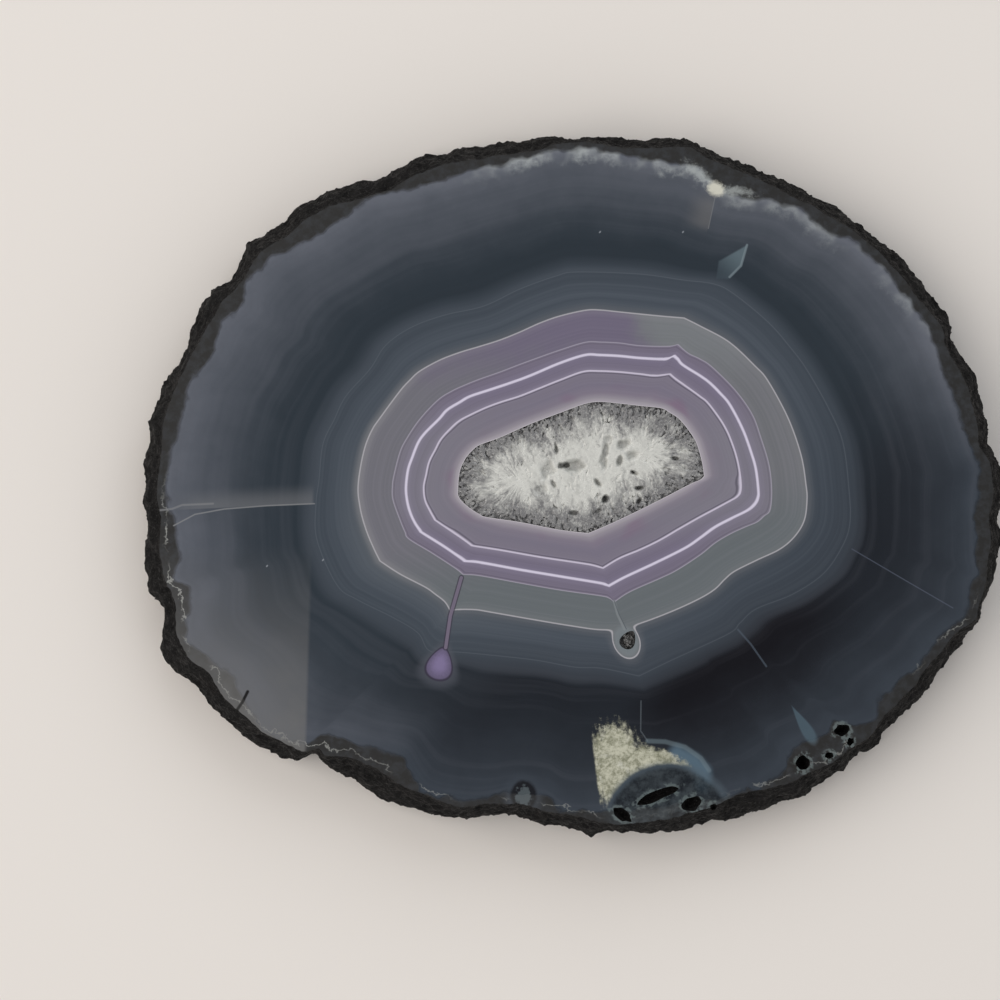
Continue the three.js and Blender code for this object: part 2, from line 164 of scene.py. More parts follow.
THIN_LINE = [
    (4.05, 21.45), (1.8, 21.4), (-1.95, 20.25), (-4.95, 19.2), (-7.95, 18.1), (-10.95, 16.95),
    (-13.95, 15.9), (-16.2, 15.0), (-18.15, 14.1), (-20.25, 12.75), (-22.95, 9.9),
    (-24.9, 7.05), (-25.95, 4.95), (-26.85, 1.5), (-27.1, -0.3), (-27.0, -2.25),
    (-25.95, -5.25), (-25.2, -7.05), (-24.6, -8.1), (-21.15, -10.2), (-17.7, -12.45),
    (-16.5, -13.4, True), (-13.95, -13.6), (-7.95, -14.7), (-1.95, -15.75), (4.05, -16.6),
    (5.4, -16.95), (6.15, -17.55, True), (8.55, -16.0), (13.05, -14.0), (15.6, -12.75),
    (19.05, -10.5), (21.3, -8.7), (23.55, -7.35), (25.8, -6.3), (27.6, -5.55),
    (28.65, -4.65), (29.55, -3.75), (29.8, -0.75), (29.4, 3.0), (28.2, 7.05),
    (26.85, 10.65), (24.3, 14.25), (20.85, 17.7), (19.05, 18.9), (17.55, 19.6),
    (16.65, 20.25), (15.75, 21.1, True), (14.25, 20.8), (10.05, 20.9), (7.05, 21.3),
]
BRIGHT_LINE = [
    (4.05, 19.5), (1.8, 19.5), (-1.95, 18.3), (-6.45, 16.4), (-9.45, 15.3), (-12.45, 14.3),
    (-15.45, 13.3), (-16.95, 12.45), (-18.9, 11.25), (-20.1, 9.9), (-22.2, 7.8),
    (-23.25, 6.3), (-24.15, 4.05), (-24.75, 2.25), (-25.05, -0.3), (-24.9, -2.25),
    (-24.45, -4.05), (-23.7, -5.7), (-22.8, -7.05, True), (-19.2, -9.3),
    (-16.2, -11.4, True), (-13.95, -11.6), (-7.95, -12.7), (-1.95, -13.7), (4.05, -14.7),
    (5.4, -15.1, True), (7.8, -13.8), (12.3, -11.7), (16.8, -9.45), (19.05, -7.95),
    (21.3, -6.3), (23.85, -4.95), (26.25, -3.75), (27.3, -2.85), (27.75, -1.95),
    (27.8, -0.75), (27.45, 2.25), (26.85, 4.5), (25.5, 8.25), (23.55, 12.0),
    (22.05, 13.8), (20.55, 15.3), (19.05, 16.4), (16.5, 18.0), (15.75, 18.9),
    (15.15, 19.4, True), (13.8, 18.9), (10.05, 19.05), (7.05, 19.35),
]
INNER_LINE = [
    (4.05, 17.1), (1.5, 17.0), (-1.95, 15.75), (-4.95, 14.55), (-7.95, 13.35),
    (-10.95, 12.4), (-13.2, 11.55), (-15.45, 10.5), (-16.95, 9.7), (-18.15, 8.7),
    (-19.8, 6.9), (-20.7, 5.25), (-21.6, 3.45), (-22.05, 1.5), (-22.4, -0.3),
    (-22.2, -2.25), (-21.45, -3.9), (-20.7, -5.25, True), (-16.95, -7.8),
    (-15.15, -9.1, True), (-10.95, -9.75), (-4.95, -10.8), (1.05, -11.7), (2.85, -12.0),
    (4.5, -12.45, True), (7.05, -10.95), (10.05, -9.7), (13.05, -8.25), (16.05, -6.5),
    (19.05, -4.8), (21.3, -3.6), (24.45, -1.9, True), (25.05, -1.2), (25.2, 0.15),
    (24.9, 2.55), (24.45, 4.5), (23.85, 6.3), (23.1, 8.1), (22.05, 9.9), (20.25, 12.3),
    (19.05, 13.3), (16.5, 15.15), (15.45, 15.9), (14.55, 16.65, True), (12.3, 16.4),
    (10.05, 16.65), (7.05, 16.95),
]
HOLLOW_RIM = [
    (19.65, 1.35, True), (19.35, 3.3), (18.6, 6.0), (17.7, 7.65), (16.05, 9.75),
    (14.55, 10.8), (13.2, 11.5), (10.05, 11.85), (7.05, 12.2), (4.05, 12.45), (1.8, 12.15),
    (-1.95, 10.8), (-6.45, 9.1), (-10.95, 7.1), (-13.95, 6.0), (-15.15, 5.1), (-16.05, 4.05),
    (-16.8, 2.55), (-17.1, 1.2), (-17.2, -0.3), (-17.2, -1.5), (-16.65, -2.4),
    (-15.45, -3.45), (-13.95, -4.4), (-12.9, -4.8), (-7.95, -5.55), (-1.95, -6.7),
    (2.25, -7.2, True), (4.8, -6.15), (9.3, -4.05), (13.8, -1.8), (17.55, 0.15), (19.05, 0.8),
]

# Open gaps between the crystals: place, half sizes along and across, turn in degrees, depth
CRYSTAL_GAPS = [
    (-1.2, 3.0, 0.8, 0.5, 20, 2.2), (0.0, 2.9, 1.5, 1.0, 0, 1.1),
    (-3.9, 2.3, 1.3, 1.2, 60, 0.7), (-2.5, 5.4, 0.7, 0.25, 100, 0.9),
    (4.8, 4.6, 2.4, 0.5, 80, 0.8), (7.6, 6.1, 0.9, 0.7, 40, 0.8),
    (7.0, 3.6, 0.8, 0.35, 70, 0.9), (9.0, 4.4, 1.0, 0.6, 0, 0.8),
    (9.0, 1.9, 0.6, 0.3, 150, 1.3), (10.0, -0.4, 0.8, 0.3, 10, 1.3),
    (4.7, -2.1, 0.5, 0.4, 30, 1.6), (3.7, 0.4, 0.8, 0.4, 130, 1.0),
    (15.3, 4.0, 0.5, 0.2, 170, 0.9), (9.9, -2.4, 0.45, 0.25, 60, 1.1),
    (-4.8, -0.6, 0.9, 0.7, 40, 0.5), (-3.0, 0.2, 0.6, 0.25, 120, 0.7),
    (0.1, -4.2, 0.5, 0.3, 0, 0.9), (3.7, -3.9, 0.6, 0.3, 30, 0.7),
]

# Marks in the stone, and painted glints: lines through points on the face, and places of single
# marks
FRACTURE_LINE = [(-59.9, -6.1), (-56.7, -4.4), (-52.3, -3.6), (-45.9, -3.1), (-38.8, -2.8)]
FRACTURE_BRANCH = [(-62.1, -3.8), (-60.2, -3.6), (-58.6, -3.0), (-54.0, -2.8)]
SPOT_PLACE = (21.4, 44.4)
# Plumes beside the spot: start, end and half width
SPOT_PLUMES = [((16.8, 48.3), (20.6, 45.4), 1.1), ((21.2, 44.6), (27.5, 43.6), 0.8)]
SPOT_LINE = [(21.4, 43.6), (20.3, 38.5)]
SPOT_VEIL_PLACE = (21.15, 42.9)
KITE = [(26.2, 36.1), (21.8, 33.6), (21.4, 30.9), (23.3, 30.8), (25.3, 32.9)]
KITE_BRIGHT_SIDE = [(26.1, 36.0), (25.2, 32.9), (23.5, 31.2)]
# Healed cracks: points, half width, screen colour and strength
HEALED_CRACKS = [
    ([(41.85, -9.6), (49.5, -14.1), (57.0, -18.45)], 0.12, (84, 90, 104), 0.6),
    ([(24.75, -21.7), (26.7, -23.9), (29.0, -27.2)], 0.2, (84, 94, 106), 0.5),
    ([(10.2, -32.4), (10.15, -36.9), (11.2, -38.4)], 0.14, (84, 90, 96), 0.7),
    ([(-48.8, -31.0), (-49.6, -32.6), (-50.8, -34.3)], 0.34, (22, 22, 24), 0.95),
]
FEATHER_PLACE = (34.6, -36.0)
PURPLE_DROP_PLACE = (-19.95, -26.8)
PURPLE_DROP_STEM = [(-16.75, -13.9), (-17.9, -17.9), (-18.4, -19.6), (-19.1, -24.4)]
SMALL_HOLLOW_STEM = [(6.15, -17.4), (6.7, -19.4), (7.7, -21.6)]
SMALL_HOLLOW_STEM_SHADE = [(6.2, -17.4), (6.9, -19.4), (8.0, -21.6)]
SMALL_HOLLOW_RING_PLACE = (8.0, -23.4)
PATCH_UPRIGHT_PLACE = (6.6, -42.2)
PATCH_SLOPING_PLACE = (12.4, -41.6)
DOME_PLACE = (14.4, -51.2)
CRESCENT = [(15.6, -40.2), (18.0, -41.4), (19.5, -43.0), (19.5, -45.0)]
CRESCENT_EDGE = [(11.2, -38.4), (13.8, -38.5), (16.8, -39.3), (19.2, -41.0), (20.4, -42.8)]
KNOB_PLACE = (-7.4, -46.6)
# Painted glints: tiny highlights on the polished face
GLINTS = [(-45.9, -12.15), (-37.5, -11.25), (4.05, 37.95), (16.5, 37.95)]

# Boxes that hold all these marks: left, bottom, right and top
MARK_BOXES = [
    (-70, -60, -37, 3.5), (10, 30, 36, 60), (41, -19.5, 58, -9), (24, -28, 30, -21),
    (30, -60, 45, -31), (1, -60, 28, -29), (-25.5, -32.5, -14.5, -13), (5.3, -22.5, 9, -16.5),
    (-12, -60, -2.5, -41), (3.2, 37, 4.9, 39),
]

# Long middle of the hollow, which the crystals point away from
SPINE_START = (-8.0, 0.5)
SPINE_END = (10.5, 4.5)
SPINE_SLOPE = 0.22

# How finely things are made
CRUST_STEP = 0.1
GRID_MARGIN = 4
COLUMNS = 1000
RIM_COLUMNS = 180
SMALL_COLUMNS = 40
SMALL_SHAFT_COLUMNS = 48
CLUSTER_SIZE = 20
WALL_RINGS = 44
SHAFT_SHARES = (0.02, 0.1, 0.4, 0.7, 1)
OUTLINE_STEPS = 3
RIM_STEPS = 6
CURVE_STEPS = 16
PIT_SUBDIVISIONS = 4

SAWN_ROUGHNESS = 0.55

# The rind's fine lumps, in the scene alone
CHIP_FADE = 9
PUMICE_MEAN = 0.4
PUMICE_SHARE = 1.1
PUMICE_PHASE = 3
GRIT_WIDTH = 0.42
GRIT_SHARE = 0.8
GRIT_PHASE = 7
EDGE_CLEARANCE = 0.3
FLAT_TOLERANCE = 0.005
UNDER_CLEARANCE = 0.4
PIT_LUMPS = (0.75, 0.5)
PIT_LUMP_RATE = 1.7

# The crust's crystals: ranges of their shapes, and what keeps them clear of the stone
CRUST_BED_DEPTH = 0.5
BED_TONE = 0.3
CRUST_CLEARANCE = 0.03
CRYSTAL_WIDTHS = (0.45, 1.15)
CRYSTAL_STRETCH = (1.2, 2.4)
CRYSTAL_TIPS = (-0.26, 0.2)
CRYSTAL_SLOPES = (0.6, 1.2)
CRYSTAL_LEAN = 0.12
CRYSTAL_TURN = 0.45
SMALL_RIM_WIDTH = 4.5
FLUSH_DEPTH = 0.02
CRUST_SEED = 5

# The small hollow's crystals
SMALL_CRYSTAL_COUNT = 46
SMALL_CRYSTAL_RADIUS = 0.2
SMALL_CRYSTAL_LENGTH = 1.5
SMALL_BED_DEPTH = 1.5
SMALL_CLEARANCE = 0.04
SMALL_SEED = 3
CRYSTAL_FOOT = 0.6
GOLDEN_SHARE = 0.618034
TONE_WIDTH = 0.9
POINT_RISE = 0.2
POINT_WIDTH = 0.12

# Values of the layer attribute: each curve inwards from the polished edge adds 1
EDGE_BAND = -1
THIN_BAND = 3
RIM_BAND = 6

# Where the slab's surfaces lie on its own map
FACE_CORNER = np.array([0.005, 0.395])
FACE_SCALE = 0.735
UNDER_CORNER = np.array([0.755, 0.7])
UNDER_SCALE = 0.235
STRIP_CORNER = (0.015, 0.02)
STRIP_SIZE = (0.72, 0.1)
STRIP_PITCH = 0.12
STRIPS = 3
SHAFT_CORNER = (0.76, 0.5)
SHAFT_SIZE = (0.23, 0.1)

PIT_CRUST_WIDTH = 0.55

# The stage, in metres
FLOOR_SIZE = 6
VIEW_CENTRE = (-10.95 * MM, -2.25 * MM)
SENSOR_WIDTH = 36
KEY_PLACE = (-0.85, 0.05, 0.85)
KEY_SIZE = (1.2, 1.4)
KEY_COLOUR = (1.0, 0.93, 0.86)
FILL_PLACE = (0.35, 0.95, 0.85)
FILL_SIZE = (0.9, 0.9)
FILL_COLOUR = (0.88, 0.94, 1.0)
SKY_COLOUR = (1.0, 0.99, 0.98, 1)
ZENITH_COLOUR = (0.262, 0.262, 0.276, 1)
ZENITH_FADE = (0.8, 0.93)

# Light that the polished face mirrors, and light that a white matt surface would send back
FACE_GLARE = 0.0125
FACE_LIGHT = 0.92
DARKEST = 0.002


def srgb(red, green, blue):
    """Linear colour from a screen colour of 0 to 255."""
    def linear(value):
        value /= 255
        return value / 12.92 if value <= 0.04045 else ((value + 0.055) / 1.055) ** 2.4
    return linear(red), linear(green), linear(blue), 1


def stone(red, green, blue):
    """Surface colour that gives a screen colour under this scene's light."""
    seen = srgb(red, green, blue)[:3]
    return tuple(max(DARKEST, (value - FACE_GLARE) / FACE_LIGHT) for value in seen) + (1,)


class SliceSettings(bpy.types.PropertyGroup):
    """Sizes and colours of the slab"""

    pumice_width: FloatProperty(
        name="Pumice lump width", description="Width of the fine lumps of the rind",
        default=1.1 * MM, min=0, unit="LENGTH", precision=5)
    pumice_height: FloatProperty(
        name="Pumice lump height", description="How far the fine lumps stand out",
        default=0.55 * MM, min=0, unit="LENGTH", precision=5)
    polish: FloatProperty(
        name="Polish", description="Roughness of the polished face",
        default=0.045, min=0, max=1)
    rind_colour: FloatVectorProperty(
        name="Rind", description="Colour of the rough rind",
        default=(0.0075, 0.007, 0.0074), subtype="COLOR", min=0, max=1)
    slate_colour: FloatVectorProperty(
        name="Slate layer", description="Colour of the slate-blue layer",
        default=stone(76, 83, 92)[:3], subtype="COLOR", min=0, max=1)
    lilac_colour: FloatVectorProperty(
        name="Lilac layer", description="Colour of the lilac layers",
        default=stone(110, 104, 123)[:3], subtype="COLOR", min=0, max=1)
    line_colour: FloatVectorProperty(
        name="Bright lines", description="Colour of the thin bright lines",
        default=stone(206, 201, 220)[:3], subtype="COLOR", min=0, max=1)


class QuartzSettings(bpy.types.PropertyGroup):
    """Sizes and colours of the crystals"""

    count: IntProperty(
        name="Crystals", description="How many crystals fill the hollow",
        default=5200, min=1)
    radius: FloatProperty(
        name="Crystal radius", description="Mean radius of a crystal",
        default=0.34 * MM, min=0, unit="LENGTH", precision=5)
    milky_colour: FloatVectorProperty(
        name="Milky quartz", description="Colour of the white crystals in the middle",
        default=(0.82, 0.83, 0.79), subtype="COLOR", min=0, max=1)
    grey_colour: FloatVectorProperty(
        name="Grey quartz", description="Colour of the glassy crystals at the rim",
        default=(0.25, 0.25, 0.257), subtype="COLOR", min=0, max=1)


class StageSettings(bpy.types.PropertyGroup):
    """Floor, light and camera"""

    camera_height: FloatProperty(
        name="Camera height", description="Height of the camera above the polished face",
        default=0.65, min=0.1, unit="LENGTH")
    view_width: FloatProperty(
        name="View width", description="Width that the camera sees at the polished face",
        default=0.15, min=0.01, unit="LENGTH")
    floor_colour: FloatVectorProperty(
        name="Floor", description="Colour of the plain floor",
        default=(0.8, 0.765, 0.73), subtype="COLOR", min=0, max=1)
    key_power: FloatProperty(
        name="Key light", description="Power of the softbox on the left in watts",
        default=7.2, min=0)
    fill_power: FloatProperty(
        name="Fill light", description="Power of the softbox at the top in watts",
        default=3.0, min=0)
    ambient: FloatProperty(
        name="Ambient light", description="Strength of the light from all round",
        default=0.74, min=0)


# Curves and noise

def closed_curve(points, steps):
    """Smooth closed curve through the points, with its sharp corners kept."""
    places = np.array([point[:2] for point in points], float)
    corners = [len(point) > 2 for point in points]
    count = len(points)
    curve = []
    for i in range(count):
        before, start, end, after = (places[(i + step) % count] for step in (-1, 0, 1, 2))
        chord = end - start
        leave = chord if corners[i] else (end - before) / 2
        arrive = chord if corners[(i + 1) % count] else (after - start) / 2
        for t in np.arange(steps) / steps:
            bend = t * (1 - t) * ((1 - t) * (leave - chord) - t * (arrive - chord))
            curve.append(start + chord * t + bend)
    return np.array(curve)


def evenly_spaced(curve, count):
    """The closed curve's points at even steps along it."""
    loop = np.vstack([curve, curve[:1]])
    travelled = np.concatenate([[0], np.cumsum(np.hypot(*np.diff(loop, axis=0).T))])
    stations = np.arange(count) / count * travelled[-1]
    return np.stack([np.interp(stations, travelled, loop[:, axis]) for axis in (0, 1)], 1)


class Layer:
    """A closed curve round the slab's middle, asked how far out it lies in a direction."""

    def __init__(self, curve):
        self.angles = np.arctan2(curve[:, 1], curve[:, 0])
        self.radii = np.hypot(curve[:, 0], curve[:, 1])

    def reach(self, angles):
        return np.interp(angles, self.angles, self.radii, period=2 * math.pi)

    def distance(self, angles, radii):
        """Distance outwards from the curve, square to it."""
        step = 0.03
        reach = self.reach(angles)
        slope = (self.reach(angles + step) - self.reach(angles - step)) / (2 * step)
        return (radii - reach) * reach / np.hypot(reach, slope)


def scatter(i, j, k):
    """Repeatable pseudo-random values from 0 to 1 for whole numbers."""
    wave = np.sin(i * 127.1 + j * 311.7 + k * 74.7) * 43758.5453
    return wave - np.floor(wave)


def lump_noise(places):
    """Smooth noise from 0 to 1 at an array of places."""
    cell = np.floor(places)
    u, v, w = np.moveaxis((places - cell) ** 2 * (3 - 2 * (places - cell)), -1, 0)
    i, j, k = np.moveaxis(cell, -1, 0)

    def edge(b, c):
        start, end = scatter(i, j + b, k + c), scatter(i + 1, j + b, k + c)
        return start + (end - start) * u

    near = edge(0, 0) + (edge(1, 0) - edge(0, 0)) * v
    far = edge(0, 1) + (edge(1, 1) - edge(0, 1)) * v
    return near + (far - near) * w


def lump_depth(places):
    """How far the rough surface lies in from its mean place, between its lumps."""
    big = np.abs(2 * lump_noise(places / BIG_LUMP_WIDTH + LUMP_PHASE) - 1)
    small = lump_noise(places / SMALL_LUMP_WIDTH - LUMP_PHASE)
    return BIG_LUMP_HEIGHT * (big - BIG_LUMP_MEAN) + SMALL_LUMP_HEIGHT * (small - SMALL_LUMP_MEAN)


# Modelling helpers

def select_nothing():
    if bpy.context.object and bpy.context.object.mode != "OBJECT":
        bpy.ops.object.mode_set(mode="OBJECT")
    bpy.ops.object.select_all(action="DESELECT")


def select_only(piece):
    select_nothing()
    piece.select_set(True)
    bpy.context.view_layer.objects.active = piece


def in_edit_mode(piece, *steps):
    """Runs mesh operators on the whole of a piece."""
    select_only(piece)
    bpy.ops.object.mode_set(mode="EDIT")
    bpy.ops.mesh.select_all(action="SELECT")
    for step in steps:
        step()
    bpy.ops.object.mode_set(mode="OBJECT")


def select_faces(piece, wanted):
    """Goes into edit mode with only the wanted faces selected."""
    select_only(piece)
    bpy.ops.object.mode_set(mode="EDIT")
    bpy.ops.mesh.select_mode(type="FACE")
    bpy.ops.mesh.select_all(action="DESELECT")
    bpy.ops.object.mode_set(mode="OBJECT")
    for face in piece.data.polygons:
        face.select = wanted(face)
    bpy.ops.object.mode_set(mode="EDIT")


def extrude_upright(piece, rise):
    """Makes a flat piece a closed solid, up or down by a rise in millimetres."""
    step = Vector((0, 0, rise * MM))
    in_edit_mode(
        piece,
        lambda: bpy.ops.mesh.extrude_region_move(TRANSFORM_OT_translate={"value": step}),
        lambda: bpy.ops.mesh.select_all(action="SELECT"),
        lambda: bpy.ops.mesh.normals_make_consistent(inside=False),
    )


def vertex_places(piece):
    """Vertex places in millimetres."""
    places = np.empty(len(piece.data.vertices) * 3)
    piece.data.vertices.foreach_get("co", places)
    return places.reshape(-1, 3) / MM


def set_vertex_places(piece, places):
    piece.data.vertices.foreach_set("co", (places * MM).ravel())
    piece.data.update()


def wrapped_sheet(name, rings):
    """A grid wrapped round the slab's axis: rings of places, closed to a point at both ends."""
    ring_count, columns = rings.shape[:2]
    select_nothing()
    bpy.ops.mesh.primitive_grid_add(
        x_subdivisions=columns, y_subdivisions=ring_count - 1, size=2)
    piece = bpy.context.object
    piece.name = name
    flat = vertex_places(piece) * MM
    across = np.rint((flat[:, 0] + 1) / 2 * columns).astype(int)
    up = np.rint((flat[:, 1] + 1) / 2 * (ring_count - 1)).astype(int)
    set_vertex_places(piece, rings[up, across % columns])
    in_edit_mode(
        piece,
        lambda: bpy.ops.mesh.remove_doubles(threshold=1e-7),
        lambda: bpy.ops.mesh.normals_make_consistent(inside=False),
    )
    return piece


def cut_with(piece, tool, operation):
    """Applies a boolean modifier with one tool, and removes the tool."""
    bpy.context.view_layer.objects.active = piece
    corners_before = len(piece.data.loops)
    modifier = piece.modifiers.new("cut", "BOOLEAN")
    modifier.operation = operation
    modifier.solver = "MANIFOLD"
    modifier.object = tool
    bpy.ops.object.modifier_apply(modifier=modifier.name)
    if len(piece.data.loops) == corners_before:
        raise RuntimeError(f"{tool.name} left {piece.name} as it was")
    bpy.data.objects.remove(tool)


def plug(name, outline, bottom, top):
    """An upright plug of an outline between two heights."""
    select_nothing()
    bpy.ops.mesh.primitive_circle_add(vertices=len(outline), radius=1, fill_type="NGON")
    piece = bpy.context.object
    piece.name = name
    set_vertex_places(piece, np.column_stack([outline, np.full(len(outline), bottom)]))
    extrude_upright(piece, top - bottom)
    return piece


def drawn_in(curve, distance):
    """A closed curve drawn in by a distance."""
    along = np.roll(curve, -1, 0) - np.roll(curve, 1, 0)
    along /= np.linalg.norm(along, axis=1, keepdims=True)
    return curve + distance * np.column_stack([-along[:, 1], along[:, 0]])


def set_attribute(piece, name, values):
    attribute = piece.data.attributes.new(name, "FLOAT", "POINT")
    attribute.data.foreach_set("value", values.astype(np.float32))


def finish_piece(piece, node, slot, smooth_angle, *materials):
    piece.data.materials.clear()
    for material in materials:
        piece.data.materials.append(material)
    select_only(piece)
    bpy.ops.object.shade_smooth_by_angle(angle=math.radians(smooth_angle))
    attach(piece, "root")
    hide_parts(node)
    select_nothing()


# Node trees

class Graph:
    """Node tree of one material, with a method for each kind of node that it uses."""

    def __init__(self, name):
        self.material = bpy.data.materials.new(name)
        self.material.use_nodes = True
        self.tree = self.material.node_tree
        self.tree.nodes.clear()
        self.shader = self.tree.nodes.new("ShaderNodeBsdfPrincipled")
        output = self.tree.nodes.new("ShaderNodeOutputMaterial")
        self.tree.links.new(self.shader.outputs[0], output.inputs[0])

    def put(self, socket, value):
        if isinstance(value, bpy.types.NodeSocket):
            self.tree.links.new(value, socket)
        elif value is not None:
            socket.default_value = value

    def node(self, kind, inputs=(), **settings):
        node = self.tree.nodes.new("ShaderNode" + kind)
        for key, value in settings.items():
            setattr(node, key, value)
        for key, value in dict(inputs).items():
            self.put(node.inputs[key], value)
        return node

    def set(self, **values):
        """Shader inputs by name, with spaces written as underscores."""
        for key, value in values.items():
            self.put(self.shader.inputs[key.replace("_", " ")], value)

    def maths(self, operation, *values):
        return self.node("Math", enumerate(values), operation=operation).outputs[0]

    def chain(self, operation, values):
        """The same sum or choice from the first value to the last."""
        total, *others = values
        for value in others:
            total = self.maths(operation, total, value)
        return total

    def add(self, *values):
        return self.chain("ADD", values)

    def times(self, *values):
        return self.chain("MULTIPLY", values)

    def smallest(self, *values):
        return self.chain("MINIMUM", values)

    def largest(self, *values):
        return self.chain("MAXIMUM", values)

    def less(self, first, second):
        return self.maths("SUBTRACT", first, second)

    def vector(self, operation, *values):
        """A sum on vectors."""
        return self.node("VectorMath", enumerate(values), operation=operation).outputs[0]

    def soft(self, value, start, end):
        """0 at the start value and 1 at the end value, eased."""
        inputs = {"Value": value, "From Min": start, "From Max": end}
        return self.node("MapRange", inputs, interpolation_type="SMOOTHSTEP").outputs[0]

    def rescale(self, value, start, end, low, high):
        inputs = {
            "Value": value, "From Min": start, "From Max": end, "To Min": low, "To Max": high}
        return self.node("MapRange", inputs).outputs[0]

    def mix(self, share, first, second):
        node = self.node("Mix", data_type="RGBA")
        self.put(node.inputs[0], share)
        self.put(node.inputs[6], first)
        self.put(node.inputs[7], second)
        return node.outputs[2]

    def ramp(self, value, stops, low=0.0, high=1.0, interpolation="LINEAR"):
        """Colours or plain values at stops between a low and a high value."""
        if (low, high) != (0.0, 1.0):
            value = self.rescale(value, low, high, 0.0, 1.0)
        node = self.node("ValToRGB", {"Fac": value})
        ramp = node.color_ramp
        ramp.interpolation = interpolation
        while len(ramp.elements) > 1:
            ramp.elements.remove(ramp.elements[-1])
        for i, (place, colour) in enumerate(stops):
            place = (place - low) / (high - low)
            element = ramp.elements[0] if i == 0 else ramp.elements.new(place)
            element.position = place
            element.color = colour if isinstance(colour, tuple) else (colour, colour, colour, 1)
        return node.outputs[0]

    def levels(self, value, stops, low=0.0, high=1.0, interpolation="LINEAR"):
        """Plain values at stops. The explicit conversion keeps the compiled shader small."""
        colour = self.ramp(value, stops, low, high, interpolation)
        return self.node("RGBToBW", {0: colour}).outputs[0]

    def attribute(self, name):
        return self.node("Attribute", attribute_name=name).outputs["Fac"]

    def place(self, flat=False):
        """Object coordinates in millimetres, on the slab's plan if flat."""
        coordinates = self.node("TexCoord").outputs["Object"]
        scale = (1 / MM, 1 / MM, 0 if flat else 1 / MM)
        return self.vector("MULTIPLY", coordinates, scale)

    def split(self, vector):
        return self.node("SeparateXYZ", {0: vector}).outputs

    def noise(self, vector, width, detail=2.0, roughness=0.5, distortion=0.0):
        """Noise from 0 to 1, with lumps about as wide as the given millimetres."""
        inputs = {
            "Vector": vector, "Scale": 1 / width, "Detail": detail,
            "Roughness": roughness, "Distortion": distortion,
        }
        return self.node("TexNoise", inputs).outputs["Fac"]

    def noise_colour(self, vector, width, detail=1.0):
        inputs = {"Vector": vector, "Scale": 1 / width, "Detail": detail}
        return self.node("TexNoise", inputs).outputs["Color"]

    def bands(self, value, vector, width, detail=2.0):
        """Noise that runs along the layers: it changes with the value and hardly with place."""
        inputs = {"Vector": vector, "W": value, "Scale": 1 / width, "Detail": detail}
        return self.node("TexNoise", inputs, noise_dimensions="4D").outputs["Fac"]

    def moved(self, vector, x, y, turn=0.0, along=1.0, across=1.0):
        """Coordinates round a place, turned by degrees and measured in half sizes."""
        inputs = {
            "Vector": vector, "Location": (x, y, 0),
            "Rotation": (0, 0, math.radians(turn)), "Scale": (along, across, 1),
        }
        return self.node("Mapping", inputs, vector_type="TEXTURE").outputs[0]

    def length(self, vector):
        return self.node("VectorMath", {0: vector}, operation="LENGTH").outputs["Value"]

    def oval(self, vector, x, y, along, across, turn=0.0):
        """0 at the oval's middle and 1 on its edge."""
        return self.length(self.moved(vector, x, y, turn, along, across))

    def inside(self, vector, corners):
        """Distance inwards from the nearest side of an outline with no dents, anticlockwise."""
        sides = []
        for start, end in zip(corners, corners[1:] + corners[:1]):
            along = (Vector(end) - Vector(start)).normalized()
            inward = Vector((-along.y, along.x))
            inputs = {0: vector, 1: (*inward, 0)}
            reach = self.node("VectorMath", inputs, operation="DOT_PRODUCT").outputs["Value"]
            sides.append(self.less(reach, inward.dot(Vector(start))))
        return self.smallest(*sides)

    def from_stroke(self, vector, *points):
        """Distance from a line of straight strokes."""
        reaches = []
        for start, end in zip(points, points[1:]):
            middle = (Vector(start) + Vector(end)) / 2
            turn = math.degrees(math.atan2(end[1] - start[1], end[0] - start[0]))
            off = self.vector("ABSOLUTE", self.moved(vector, *middle, turn))
            past_end = self.vector("SUBTRACT", off, (math.dist(start, end) / 2, 0, 0))
            reaches.append(self.length(self.vector("MAXIMUM", past_end, (0, 0, 0))))
        return self.smallest(*reaches)

    def bump(self, height, strength, distance):
        inputs = {"Height": height, "Strength": strength, "Distance": distance * MM}
        return self.node("Bump", inputs).outputs[0]


# The agate's look

def along_layers(g, spot, band, rate, detail):
    """Fine banding: noise that changes quickly across the layers and slowly along them."""
    slow = g.vector("MULTIPLY", spot, (0.012, 0.012, 0))
    noise = g.bands(g.times(band, rate), slow, 1.0, detail)
    return g.rescale(noise, 0.3, 0.7, -1.0, 1.0)


def tinted(g, colour, share, lighter, darker):
    """The colour moved towards one tint or the other by a share from -1 to 1."""
    colour = g.mix(g.largest(share, 0.0), colour, lighter)
    return g.mix(g.largest(g.times(share, -1.0), 0.0), colour, darker)


